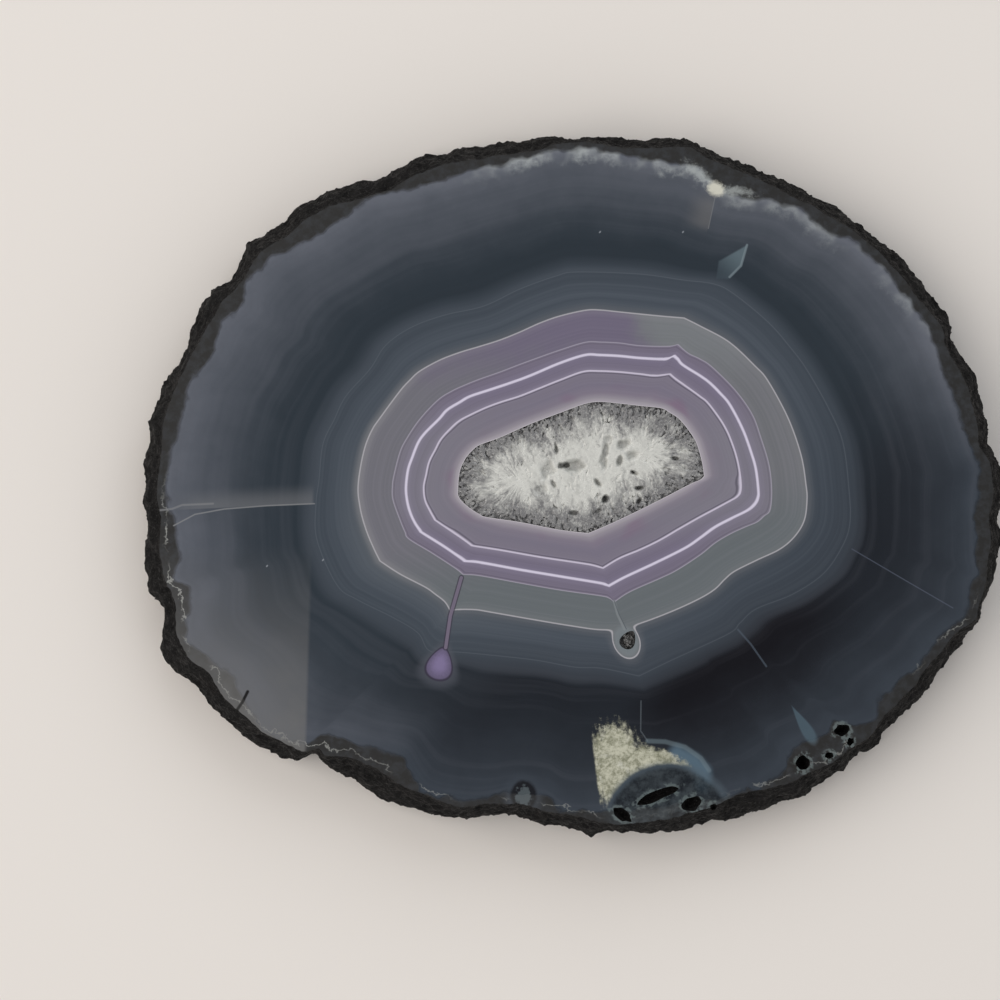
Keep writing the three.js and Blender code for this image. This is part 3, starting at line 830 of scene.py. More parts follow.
def outer_zone(g, spot, x, y, band, inside_rind, wisps):
    """Dark ring, which turns pale and wispy towards the rind."""
    cloud = g.rescale(g.noise(spot, 22.0, 2.0), 0.3, 0.7, -5.0, 5.0)
    tilt = g.add(y, g.times(x, -0.45), g.times(g.smallest(x, 0.0), -0.2), cloud)
    upper = g.soft(tilt, -28.0, 0.0)
    dark = g.mix(upper, stone(40, 43, 48), stone(51, 58, 65))
    darkest = g.soft(g.oval(spot, 25.0, -29.0, 24.0, 11.0, 36), 1.0, 0.45)
    dark = g.mix(darkest, dark, stone(26, 30, 35))
    pale = g.mix(upper, stone(62, 68, 76), stone(97, 101, 110))
    wobble = g.times(g.less(wisps, 0.5), 0.22)
    fade = g.levels(g.add(band, wobble), [
        (0.0, 1.0), (0.1, 0.78), (0.2, 0.58), (0.35, 0.38), (0.5, 0.19), (0.65, 0.06), (0.76, 0.0),
    ])
    colour = g.mix(fade, dark, pale)
    colour = tinted(g, colour, g.times(along_layers(g, spot, band, 9.0, 4.0), 0.09),
                    stone(120, 122, 132), stone(14, 15, 18))
    # Frosty white under the rind, at the top and the upper right
    ragged = g.times(g.less(g.noise(spot, 1.8, 4.0, 0.7), 0.5), 4.5)
    depth = g.add(inside_rind, g.times(g.less(wisps, 0.5), 3.0), ragged)
    frost = g.times(
        g.soft(depth, 2.6, -0.2), g.soft(g.add(y, g.times(x, 0.35)), 36.0, 50.0),
        g.soft(g.noise(spot, 5.0, 2.0), 0.38, 0.6))
    share = g.rescale(x, 14.0, 30.0, 0.72, 0.36)
    return g.mix(g.times(frost, share), colour, stone(184, 190, 190))


def slate_zone(g, spot, x, y, band, outer, slate):
    share = g.levels(band, [
        (0.86, 0.0), (0.99, 0.62), (1.0, 0.68), (1.2, 0.72), (1.55, 1.0), (2.0, 1.0),
    ], 0.0, 2.0)
    colour = g.mix(share, outer, slate)
    side = g.soft(g.add(g.times(x, 0.7), g.times(y, -0.5)), 12.0, 34.0)
    colour = g.mix(g.times(side, share, 0.45), colour, stone(52, 58, 66))
    pale = g.times(g.soft(g.add(x, y), -22.0, -46.0), g.soft(band, 1.3, 1.9))
    colour = g.mix(g.times(pale, 0.55), colour, stone(94, 100, 107))
    near = g.soft(band, 1.7, 2.0)
    colour = g.mix(g.times(near, 0.4), colour, stone(84, 88, 94))
    fine = g.times(along_layers(g, spot, band, 15.0, 3.0), g.soft(band, 0.9, 1.05), 0.12)
    return tinted(g, colour, fine, stone(100, 108, 116), stone(38, 44, 52))


def lilac_zones(g, spot, x, y, band, wisps, lilac):
    """The wide outer lilac layer, and the layers inside the thin line."""
    drift = g.rescale(wisps, 0.3, 0.7, -1.5, 1.5)
    right = g.soft(g.add(x, g.times(y, 0.5), drift), 19.0, 26.0)
    high = g.soft(g.add(y, drift), 13.0, 23.0)
    low = g.soft(g.add(y, g.times(x, -0.2)), -3.0, -14.0)
    wide = g.mix(high, stone(112, 112, 120), lilac)
    wide = g.mix(right, wide, stone(112, 114, 119))
    wide = g.mix(g.times(right, high), wide, stone(118, 122, 126))
    wide = g.mix(low, wide, stone(103, 109, 113))
    inner = g.ramp(band, [
        (3.0, stone(118, 112, 129)), (3.8, stone(114, 108, 126)), (4.25, stone(113, 107, 126)),
        (4.8, stone(120, 114, 132)), (5.08, stone(122, 117, 131)), (5.45, stone(120, 115, 131)),
        (5.68, stone(126, 119, 134)), (5.84, stone(143, 138, 148)), (6.0, stone(168, 164, 169)),
    ], 3.0, 6.0)
    patches = g.soft(g.noise(spot, 7.0, 1.0), 0.5, 0.66)
    rosy = g.times(patches, g.soft(band, 5.3, 5.6), g.soft(band, 5.88, 5.7))
    inner = g.mix(g.times(rosy, 0.6), inner, stone(124, 100, 124))
    greyer = g.soft(g.maths("ABSOLUTE", g.add(y, -2.0)), 13.0, 4.0)
    inner = g.mix(g.times(greyer, g.soft(band, 5.9, 5.6), 0.6), inner, stone(124, 123, 132))
    colour = g.mix(g.soft(band, THIN_BAND - 0.03, THIN_BAND + 0.03), wide, inner)
    fine = g.times(along_layers(g, spot, band, 13.0, 3.0), 0.07)
    return tinted(g, colour, fine, stone(165, 160, 178), stone(70, 70, 80))


def layer_lines(g, colour, x, band, from_line, edge_gap, bright):
    """Thin bright lines between the layers, with their glow."""
    gap = g.maths("ABSOLUTE", edge_gap)
    halo = g.times(g.soft(gap, 1.3, 0.0), g.rescale(x, -30.0, -18.0, 0.42, 0.14))
    colour = g.mix(halo, colour, stone(142, 142, 145))
    colour = g.mix(g.times(g.soft(gap, 0.15, 0.03), 0.85), colour, stone(172, 171, 177))
    zones = (0.0, 8.0, "CONSTANT")
    width = g.levels(
        band, [(0.0, 0.12), (2.0, 0.12), (3.5, 0.29), (4.5, 0.19), (5.5, 0.15)], *zones)
    share = g.levels(
        band, [(0.0, 0.28), (2.0, 0.75), (3.5, 1.0), (4.5, 0.95), (5.5, 0.8)], *zones)
    tint = g.ramp(band, [
        (0.0, stone(100, 107, 115)), (2.0, stone(160, 156, 170)), (3.5, bright),
        (4.5, stone(198, 192, 210)), (5.5, stone(192, 189, 194)),
    ], *zones)
    spread = g.maths("DIVIDE", from_line, width)
    glow = g.times(g.soft(spread, 4.5, 0.5), 0.16, g.soft(band, 3.2, 3.6))
    colour = g.mix(glow, colour, stone(160, 153, 178))
    companions = g.smallest(1.0, g.add(
        g.times(g.soft(band, 5.0, 5.02), g.soft(band, 5.4, 5.3)),
        g.times(g.soft(band, 3.0, 3.02), g.soft(band, 3.4, 3.3), 0.5)))
    shade = g.times(companions, g.soft(from_line, 0.18, 0.25), g.soft(from_line, 0.42, 0.3))
    colour = g.mix(g.times(shade, 0.5), colour, stone(60, 57, 68))
    return g.mix(g.times(g.soft(spread, 1.0, 0.25), share), colour, tint)


def rind_face_and_edge_highlight(g, colour, spot, x, y, inside_rind, inside_edge):
    """The rind where the sawn face cuts it, with its lobed edge, and a pale wavy line along the
    polished edge that is partly a film in the stone and partly a painted highlight.
    """
    lobes = g.times(g.less(g.noise(spot, 3.0, 1.5, 0.5), 0.5), 2.2)
    fine = g.times(g.less(g.noise(spot, 0.9, 2.0), 0.5), 0.5)
    rind = g.soft(g.add(inside_rind, lobes, fine), 0.5, -0.35)
    patches = g.soft(g.noise(spot, 1.6, 4.0, 0.7), 0.4, 0.65)
    colour = g.mix(rind, colour, g.mix(patches, stone(24, 25, 28), stone(43, 45, 48)))
    # Pale film and painted highlight: a wavy line just inside the polished edge, only at the lower
    # left and strongest on the left, towards the key light
    wave = g.times(g.less(g.noise(spot, 1.7, 3.0, 0.65), 0.38), 3.4)
    crinkle = g.maths("ABSOLUTE", g.less(g.less(inside_edge, 0.5), wave))
    crinkle = g.times(
        g.soft(crinkle, 0.17, 0.05), g.soft(inside_edge, 2.4, 1.6),
        g.soft(inside_edge, 0.0, 0.15), g.soft(g.noise(spot, 6.0, 1.0), 0.42, 0.56),
        g.soft(g.add(y, g.times(x, 0.15)), -3.0, -13.0), g.rescale(x, -44.0, -32.0, 0.72, 0.34))
    return g.mix(crinkle, colour, stone(158, 160, 157)), rind


class Face:
    """The face's colour while its marks are added, with its coordinates and shared noise."""

    def __init__(self, g, colour, spot, x, y, band, wisps):
        self.g, self.colour, self.spot = g, colour, spot
        self.x, self.y, self.band, self.wisps = x, y, band, wisps
        self.grain = g.noise(spot, 0.45, 3.0, 0.7)
        self.ragged = g.times(g.less(g.noise(spot, 1.1, 4.0, 0.75), 0.5), 1.1)

    def paint(self, mask, tint, share=1.0):
        """Lays a colour over the face as far as the mask says."""
        mask = self.g.times(mask, share) if share != 1.0 else mask
        self.colour = self.g.mix(mask, self.colour, tint)

    def strokes(self, points, width, tint, share):
        """A thin line with soft sides."""
        reach = self.g.from_stroke(self.spot, *points)
        self.paint(self.g.soft(reach, width, 0.35 * width), tint, share)

    def drop_shape(self, middle, turn, along, across, taper):
        """0 at a drop's middle and 1 on its edge."""
        g = self.g
        local = g.split(g.moved(self.spot, *middle, turn, along, across))
        side = g.maths(
            "DIVIDE", local[1], g.rescale(local[0], -1.0, 1.0, 1 + taper, 1 - taper))
        return g.maths("SQRT", g.add(g.times(local[0], local[0]), g.times(side, side)))


def fracture_and_painted_reflection(face):
    """On the left: a fading veil above the fracture's line, and a wide painted reflection below
    it.
    """
    g, x, y = face.g, face.x, face.y
    below = g.less(y, g.add(-1.05, g.times(x, 0.045)))
    left_of_end = g.soft(g.add(x, g.times(y, -0.03)), -38.6, -39.3)
    above = g.times(
        g.soft(below, -0.1, 0.1), g.soft(below, 3.4, 0.2), g.soft(x, -62.0, -55.0), left_of_end)
    face.paint(above, stone(112, 114, 118), 0.5)
    # Painted reflection: a pale sheet below the fracture's line and left of its end, stronger
    # further down
    mottle = g.rescale(face.wisps, 0.3, 0.7, 0.8, 1.15)
    wide = g.times(
        g.soft(below, 0.3, -0.6), left_of_end, g.rescale(y, -9.0, -36.0, 0.0, 0.62), mottle)
    face.paint(wide, stone(112, 112, 112))
    face.strokes(FRACTURE_LINE, 0.15, stone(128, 130, 133), 0.75)
    face.strokes(FRACTURE_BRANCH, 0.22, stone(126, 128, 131), 0.6)


def pale_spot(face):
    """At the top right: a pale spot with its plumes, and a veil beside the line below it."""
    g, spot = face.g, face.spot
    torn = g.times(g.less(g.noise(spot, 0.9, 4.0, 0.7), 0.5), 2.4)
    for start, end, width in SPOT_PLUMES:
        middle = (Vector(start) + Vector(end)) / 2
        turn = math.degrees(math.atan2(end[1] - start[1], end[0] - start[0]))
        plume = g.oval(spot, *middle, math.dist(start, end) / 1.7, width, turn)
        face.paint(g.soft(g.add(plume, torn), 1.2, 0.1), stone(170, 176, 176), 0.55)
    edge = g.add(
        g.oval(spot, *SPOT_PLACE, 1.5, 1.2, 340), g.times(g.less(face.grain, 0.5), 0.9))
    face.paint(g.soft(edge, 1.15, 0.5), stone(206, 205, 192), 0.9)
    local = g.split(g.moved(spot, *SPOT_VEIL_PLACE, 258, 5.0, 1.0))
    veil = g.times(
        g.soft(local[0], -0.3, 0.3), g.soft(local[0], 1.1, 0.7),
        g.soft(local[1], 0.06, -0.06), g.soft(local[1], -4.4, -0.4))
    face.paint(veil, stone(104, 104, 105), 0.55)
    face.strokes(SPOT_LINE, 0.12, stone(128, 129, 130), 0.45)


def frosted_kite(face):
    """A small kite-shaped flaw, brighter along its right side."""
    g = face.g
    glassy = g.mix(
        g.soft(g.add(face.x, face.y), 53.0, 60.0), stone(66, 76, 84), stone(104, 120, 128))
    face.paint(g.soft(g.inside(face.spot, KITE), -0.1, 0.25), glassy, 0.65)
    face.strokes(KITE_BRIGHT_SIDE, 0.26, stone(128, 142, 149), 0.5)


def healed_cracks(face):
    for points, width, tint, share in HEALED_CRACKS:
        face.strokes(points, width, stone(*tint), share)
    feather = face.drop_shape(FEATHER_PLACE, 122, 3.6, 0.85, 0.8)
    face.paint(face.g.soft(feather, 1.05, 0.7), stone(80, 97, 108), 0.7)


def purple_drop(face):
    """A purple drop that hangs on a dark-edged stem from the thin line."""
    g = face.g
    drop = face.drop_shape(PURPLE_DROP_PLACE, 76, 2.6, 1.95, 0.42)
    face.paint(g.soft(drop, 1.7, 1.0), stone(84, 87, 96), 0.6)
    grainy = g.add(drop, g.times(g.less(face.grain, 0.5), 0.4))
    inside = g.mix(g.soft(grainy, 0.2, 0.95), stone(124, 114, 148), stone(98, 91, 116))
    face.paint(g.soft(drop, 1.06, 0.98), stone(62, 58, 72), 0.9)
    face.paint(g.soft(drop, 0.95, 0.85), inside)
    stem = g.from_stroke(face.spot, *PURPLE_DROP_STEM)
    face.paint(g.soft(stem, 0.5, 0.32), stone(62, 58, 70), 0.8)
    face.paint(g.soft(stem, 0.3, 0.2), stone(118, 110, 128), 0.85)


def small_hollow_stem(face):
    face.strokes(SMALL_HOLLOW_STEM, 0.3, stone(128, 134, 138), 0.7)
    face.strokes(SMALL_HOLLOW_STEM_SHADE, 0.1, stone(74, 80, 86), 0.6)


def quartz_patch(face):
    """Pale quartz above a dark dome of the rind, with a blue crescent at its end."""
    g, spot, ragged = face.g, face.spot, face.ragged
    hair = g.noise(g.moved(spot, 0, 0, 100, 2.4, 0.7), 0.8, 3.0)
    upright = g.add(
        g.oval(spot, *PATCH_UPRIGHT_PLACE, 4.3, 6.6, 8), g.times(g.less(hair, 0.5), 0.6))
    sloping = g.oval(spot, *PATCH_SLOPING_PLACE, 5.2, 2.1, 345)
    dome = g.add(g.oval(spot, *DOME_PLACE, 9.6, 9.2), g.times(ragged, 0.06))
    patch = g.times(
        g.soft(g.add(g.smallest(upright, sloping), ragged), 1.12, 0.72),
        g.soft(dome, 0.99, 1.05), g.soft(g.add(face.x, g.times(face.y, 0.12)), -1.9, -1.5))
    crescent = g.from_stroke(spot, *CRESCENT)
    face.paint(g.soft(crescent, 1.9, 0.3), stone(88, 108, 123), 0.85)
    face.strokes(CRESCENT_EDGE, 0.5, stone(120, 136, 144), 0.34)
    lumps = g.times(g.noise(spot, 1.5, 4.0, 0.6), 0.55)
    mottled = g.soft(g.add(g.times(face.grain, 0.45), lumps), 0.38, 0.6)
    flecks = g.mix(mottled, stone(130, 131, 112), stone(194, 194, 176))
    white = g.soft(g.noise(spot, 2.6, 4.0, 0.6), 0.55, 0.68)
    face.paint(patch, g.mix(g.times(white, 0.7), flecks, stone(212, 213, 203)), 0.92)
    shoulder = g.times(
        g.soft(dome, 0.84, 0.98), g.soft(dome, 1.12, 1.0), g.soft(face.y, -51.0, -45.0))
    face.paint(shoulder, stone(84, 96, 105), 0.45)
    stony = g.soft(g.noise(spot, 2.0, 4.0, 0.7), 0.35, 0.65)
    under = g.times(g.soft(dome, 1.0, 0.9), g.soft(face.band, 0.9, 0.7))
    face.paint(under, g.mix(stony, stone(32, 35, 38), stone(62, 68, 72)), 0.85)


def knob_pits_and_painted_glints(face):
    """A knob of rind with a dark ring, pale crusts round the pits, and tiny painted glints."""
    g, spot, ragged = face.g, face.spot, face.ragged
    knob = g.add(g.oval(spot, *KNOB_PLACE, 1.9, 2.2), g.times(ragged, 0.25))
    face.paint(g.soft(knob, 1.9, 1.0), stone(64, 70, 78), 0.6)
    face.paint(g.soft(knob, 1.2, 0.85), stone(30, 32, 34), 0.9)
    face.paint(g.soft(g.add(knob, ragged), 0.7, 0.5), stone(84, 92, 96), 0.8)
    pits = g.smallest(*[
        g.oval(spot, x, y, along + PIT_CRUST_WIDTH, across + PIT_CRUST_WIDTH, turn)
        for x, y, along, across, turn, _ in RIM_PITS])
    broken = g.soft(g.noise(spot, 0.8, 3.0), 0.42, 0.55)
    crust = g.times(g.soft(g.add(pits, ragged), 1.1, 0.85), broken)
    face.paint(crust, stone(104, 115, 116), 0.6)
    # Painted glints: tiny highlights
    glints = g.smallest(*[g.oval(spot, *place, 0.28, 0.16, 50) for place in GLINTS])
    face.paint(g.soft(glints, 1.0, 0.4), stone(150, 156, 164), 0.6)


MARKS = (fracture_and_painted_reflection, pale_spot, frosted_kite, healed_cracks, purple_drop,
         small_hollow_stem, quartz_patch, knob_pits_and_painted_glints)


def agate_material(name, settings, roughness, marks=MARKS):
    """The banded stone, with or without the single marks in it."""
    g = Graph(name)
    spot = g.place(flat=True)
    x, y, _ = g.split(spot)
    band = g.attribute("band")
    inside_rind = g.attribute("inside_rind")
    wisps = g.noise(spot, 5.0, 3.0, 0.6)
    slate = tuple(settings.slate_colour) + (1,)
    lilac = tuple(settings.lilac_colour) + (1,)
    bright = tuple(settings.line_colour) + (1,)

    colour = outer_zone(g, spot, x, y, band, inside_rind, wisps)
    colour = slate_zone(g, spot, x, y, band, colour, slate)
    # The lilac layer's edge dips round the small hollow
    egg = g.oval(spot, *SMALL_HOLLOW_RING_PLACE, 2.7, 1.95, SMALL_HOLLOW_TURN + 50)
    egg = g.times(g.less(egg, 1.0), 2.2)
    edge_gap = g.maths("SMOOTH_MIN", g.attribute("outside_lilac"), egg, 1.6)
    layers = lilac_zones(g, spot, x, y, band, wisps, lilac)
    colour = g.mix(g.soft(edge_gap, 0.1, -0.1), colour, layers)
    colour = g.mix(g.times(g.soft(egg, 0.1, -0.7), 0.75), colour, stone(118, 126, 131))
    colour = layer_lines(g, colour, x, band, g.attribute("from_line"), edge_gap, bright)
    colour, rind = rind_face_and_edge_highlight(
        g, colour, spot, x, y, inside_rind, g.attribute("inside_edge"))
    face = Face(g, colour, spot, x, y, band, wisps)
    for mark in marks:
        mark(face)
    quartz = g.mix(g.noise(spot, 1.2, 4.0, 0.7), stone(120, 122, 124), stone(205, 206, 204))
    colour = g.mix(g.soft(band, RIM_BAND - 0.01, RIM_BAND + 0.05), face.colour, quartz)
    g.set(Base_Color=colour, IOR=1.54)
    polish = g.rescale(g.noise(spot, 4.0, 3.0), 0.3, 0.7, roughness * 0.85, roughness * 1.15)
    g.set(Roughness=g.largest(polish, g.times(rind, 0.5)))
    return g.material


def rind_material(settings):
    g = Graph("pumice_rind")
    solid = g.place()
    rind = tuple(settings.rind_colour) + (1,)
    patches = g.soft(g.noise(solid, 2.2, 4.0, 0.7), 0.35, 0.7)
    colour = g.mix(patches, (0.0035, 0.0033, 0.0035, 1), rind)
    rusty = g.times(g.soft(g.noise(solid, 3.5, 2.0), 0.55, 0.75), 0.2)
    colour = g.mix(rusty, colour, (0.015, 0.011, 0.01, 1))
    speck = g.soft(g.noise(solid, 0.35, 2.0, 0.6), 0.58, 0.7)
    colour = g.mix(g.times(speck, 0.6), colour, (0.05, 0.049, 0.048, 1))
    pores = g.node("TexVoronoi", {"Vector": solid, "Scale": 3.0}).outputs["Distance"]
    relief = g.add(g.noise(solid, 0.6, 5.0, 0.75), g.times(pores, 0.5))
    g.set(Base_Color=colour, IOR=1.45, Specular_IOR_Level=0.18)
    g.set(Roughness=g.rescale(g.noise(solid, 1.0, 2.0), 0.3, 0.7, 0.5, 0.85))
    g.set(Normal=g.bump(relief, 0.9, 0.5))
    return g.material


def quartz_material(name, milky, grey, dark):
    """Clear and milky crystals, with feathery streaks out from the hollow's long middle, and
    painted shade in the open gaps.
    """
    g = Graph(name)
    solid = g.place()
    spot = g.place(flat=True)
    tone = g.attribute("tone")
    rim = g.attribute("from_rim")
    reach = (SPINE_END[0] - SPINE_START[0], SPINE_END[1] - SPINE_START[1])
    turn = math.degrees(math.atan2(reach[1], reach[0]))
    local = g.split(g.moved(spot, *SPINE_START, turn))
    nearest = g.smallest(g.largest(local[0], 0.0), math.hypot(*reach))
    away = g.node("CombineXYZ", {0: g.less(local[0], nearest), 1: local[1]}).outputs[0]
    hx, hy, _ = g.split(g.vector("MULTIPLY", g.vector("NORMALIZE", away), (7.0, 7.0, 0)))
    depth = g.times(g.length(away), 0.22)
    flow = g.node("CombineXYZ", {0: g.add(hx, nearest), 1: hy, 2: depth}).outputs[0]
    stir = g.vector("MULTIPLY", g.noise_colour(spot, 1.6, 2.0), (2.2, 2.2, 2.2))
    flow = g.vector("ADD", flow, stir)
    feathers = g.noise(flow, 1.0, 5.0, 0.72)
    grit = g.noise(solid, 0.28, 3.0, 0.75)
    cloud = g.noise(spot, 3.2, 2.0)
    drift = g.rescale(cloud, 0.3, 0.7, -1.6, 1.6)
    streaks = g.rescale(feathers, 0.3, 0.7, -2.2, 2.2)
    white = g.soft(g.add(rim, drift, streaks), 1.0, 5.8)
    colour = g.mix(white, grey, milky)
    gritty = g.times(g.soft(grit, 0.5, 0.34), g.rescale(white, 0.0, 1.0, 0.28, 0.12))
    colour = g.mix(gritty, colour, dark)
    colour = g.mix(g.times(g.soft(grit, 0.52, 0.68), g.less(1.0, white), 0.5), colour, milky)
    colour = g.mix(g.times(g.soft(feathers, 0.5, 0.34), 0.2), colour, dark)
    # Painted shade: darker in the open gaps between the crystals
    colour = g.mix(g.times(g.attribute("shade"), 0.42), colour, dark)
    colour = g.mix(g.rescale(tone, 0.0, 1.0, 0.14, 0.0), colour, dark)
    g.set(Base_Color=colour, IOR=1.54, Transmission_Weight=0.2)
    g.set(Roughness=g.rescale(feathers, 0.3, 0.7, 0.14, 0.32))
    g.set(Normal=g.bump(grit, 0.25, 0.1))
    return g.material


# The pieces

def slab_rings(settings):
    """The slab's surface as rings from the underside's middle round to the hollow's floor."""
    outline = evenly_spaced(closed_curve(SLAB_OUTLINE, OUTLINE_STEPS), COLUMNS)
    angles = np.arctan2(outline[:, 1], outline[:, 0])
    spokes = np.column_stack([np.cos(angles), np.sin(angles)])
    outward = outline / (HALF_LENGTH ** 2, HALF_WIDTH ** 2)
    outward /= np.linalg.norm(outward, axis=1, keepdims=True)
    stations, reaches = zip(*RIND_REACH)
    rind_reach = np.interp(np.degrees(angles) % 360, stations, reaches)
    polished_edge = outline - outward * rind_reach[:, None]
    widest = outline * WIDEST_GROWTH
    width = settings.pumice_width / MM
    height = settings.pumice_height / MM

    def ring(plan, z):
        return np.column_stack([plan, np.full(COLUMNS, z)])

    def wall(drop):
        """The wall's ring at a share of the way down."""
        z = TOP * (1 - drop)
        swell = math.sin(math.pi / 2 * drop / WIDEST_DROP) if drop < WIDEST_DROP else 1
        under = max(0, (drop - WIDEST_DROP) / (1 - WIDEST_DROP))
        tuck = BOTTOM_TUCK * (1 - math.sqrt(1 - under * under))
        share = EDGE_CHIP_SHARE + (1 - EDGE_CHIP_SHARE) * min(1, drop * CHIP_FADE)
        places = ring(outline, z)
        pumice = np.abs(2 * lump_noise(places / width + PUMICE_PHASE) - 1) - PUMICE_MEAN
        grit = lump_noise(places / (GRIT_WIDTH * width) + GRIT_PHASE) - SMALL_LUMP_MEAN
        depth = lump_depth(places) + height * (PUMICE_SHARE * pumice + GRIT_SHARE * grit)
        plan = polished_edge + (widest - polished_edge) * swell
        return ring(plan - outward * (tuck + share * depth)[:, None], z)

    def at(radii, z):
        return ring(spokes * radii[:, None], z)

    top_edge = wall(0)
    bottom_edge = wall(1)
    curves = [SLATE_EDGE, LILAC_EDGE, THIN_LINE, BRIGHT_LINE, INNER_LINE, HOLLOW_RIM]
    edge = Layer(top_edge[:, :2])
    drawn_rind = Layer(closed_curve(RIND_EDGE, CURVE_STEPS)).reach(edge.angles)
    rind = Layer(edge_limited(edge, drawn_rind))
    layers = [edge, rind] + [Layer(closed_curve(curve, CURVE_STEPS)) for curve in curves]
    radii = [layer.reach(angles) for layer in layers]
    rim = radii[-1]

    rings = [at(rim * 0, 0), at(rim * 0.5, 0), at(rim, 0)]
    for inner, outer in zip(radii[:1:-1], radii[-2:1:-1]):
        rings += [at((inner + outer) / 2, 0), at(outer, 0)]
    bottom_reach = Layer(bottom_edge[:, :2]).reach(angles)
    under_rind = np.minimum(radii[1], bottom_reach - UNDER_CLEARANCE)
    rings += [at((radii[2] + under_rind) / 2, 0), at(under_rind, 0)]
    rings += [wall(1 - i / WALL_RINGS) for i in range(WALL_RINGS)]
    rings += [top_edge, at((edge.reach(angles) + radii[1]) / 2, TOP), at(radii[1], TOP)]
    for outer, inner in zip(radii[1:], radii[2:]):
        rings += [at((inner + outer) / 2, TOP), at(inner, TOP)]
    floor = CRUST_FLOOR - HOLLOW_GAP
    rings += [at(rim, TOP + (floor - TOP) * share) for share in SHAFT_SHARES]
    rings += [at(rim * 0.5, floor), at(rim * 0, floor)]
    return np.array(rings), layers


def edge_limited(edge, drawn_radii):
    """The rind's inner edge, kept just inside the polished edge."""
    radii = np.minimum(drawn_radii, edge.radii - EDGE_CLEARANCE)
    return np.column_stack([np.cos(edge.angles), np.sin(edge.angles)]) * radii[:, None]


def mark_layers(piece, layers):
    """Gives each vertex its place among the layers, for the material."""
    places = vertex_places(piece)
    angles = np.arctan2(places[:, 1], places[:, 0])
    radii = np.hypot(places[:, 0], places[:, 1])
    reaches = [layer.reach(angles) for layer in layers]
    distances = [layer.distance(angles, radii) for layer in layers]
    band = EDGE_BAND - (radii - reaches[0]) / 3
    for i, (outer, inner) in enumerate(zip(reaches, reaches[1:])):
        within = (radii <= outer) & (radii > inner)
        band = np.where(within, EDGE_BAND + i + (outer - radii) / (outer - inner), band)
    band = np.where(radii <= reaches[-1], RIM_BAND + 1 - radii / reaches[-1], band)
    edge, rind, slate, lilac, *inner_lines = distances
    set_attribute(piece, "band", band)
    set_attribute(piece, "from_line", np.min(np.abs([slate, *inner_lines]), axis=0))
    set_attribute(piece, "outside_lilac", lilac)
    set_attribute(piece, "inside_rind", -rind)
    set_attribute(piece, "inside_edge", -edge)


def small_hollow_outline(count):
    """The small drop-shaped hollow, with its narrow end towards the middle of the slab."""
    turn = np.arange(count) / count * 2 * math.pi
    along = np.cos(turn) * SMALL_HOLLOW_LENGTH / 2
    across = np.sin(turn) * (1 - SMALL_HOLLOW_TAPER * np.cos(turn)) * SMALL_HOLLOW_WIDTH / 2
    lean = math.radians(SMALL_HOLLOW_TURN)
    x = along * math.cos(lean) - across * math.sin(lean)
    y = along * math.sin(lean) + across * math.cos(lean)
    return np.column_stack([x, y]) + SMALL_HOLLOW_CENTRE


def pit_tool(x, y, along, across, turn, depth):
    """A lumpy bowl that cuts one pit."""
    select_nothing()
    bpy.ops.mesh.primitive_ico_sphere_add(subdivisions=PIT_SUBDIVISIONS, radius=1)
    piece = bpy.context.object
    places = vertex_places(piece) * MM
    least, spread = PIT_LUMPS
    lumps = least + spread * lump_noise(places * PIT_LUMP_RATE + x)
    places *= lumps[:, None]
    spin = np.array(Matrix.Rotation(math.radians(turn), 3, "Z"))
    places = places * (along, across, depth) @ spin.T + (x, y, TOP)
    set_vertex_places(piece, places)
    return piece


def cut_pits(piece):
    outline = small_hollow_outline(SMALL_SHAFT_COLUMNS)
    small = plug("small_hollow", outline, SMALL_FLOOR - HOLLOW_GAP, TOP + 1)
    cut_with(piece, small, "DIFFERENCE")
    for pit in RIM_PITS:
        cut_with(piece, pit_tool(*pit), "DIFFERENCE")


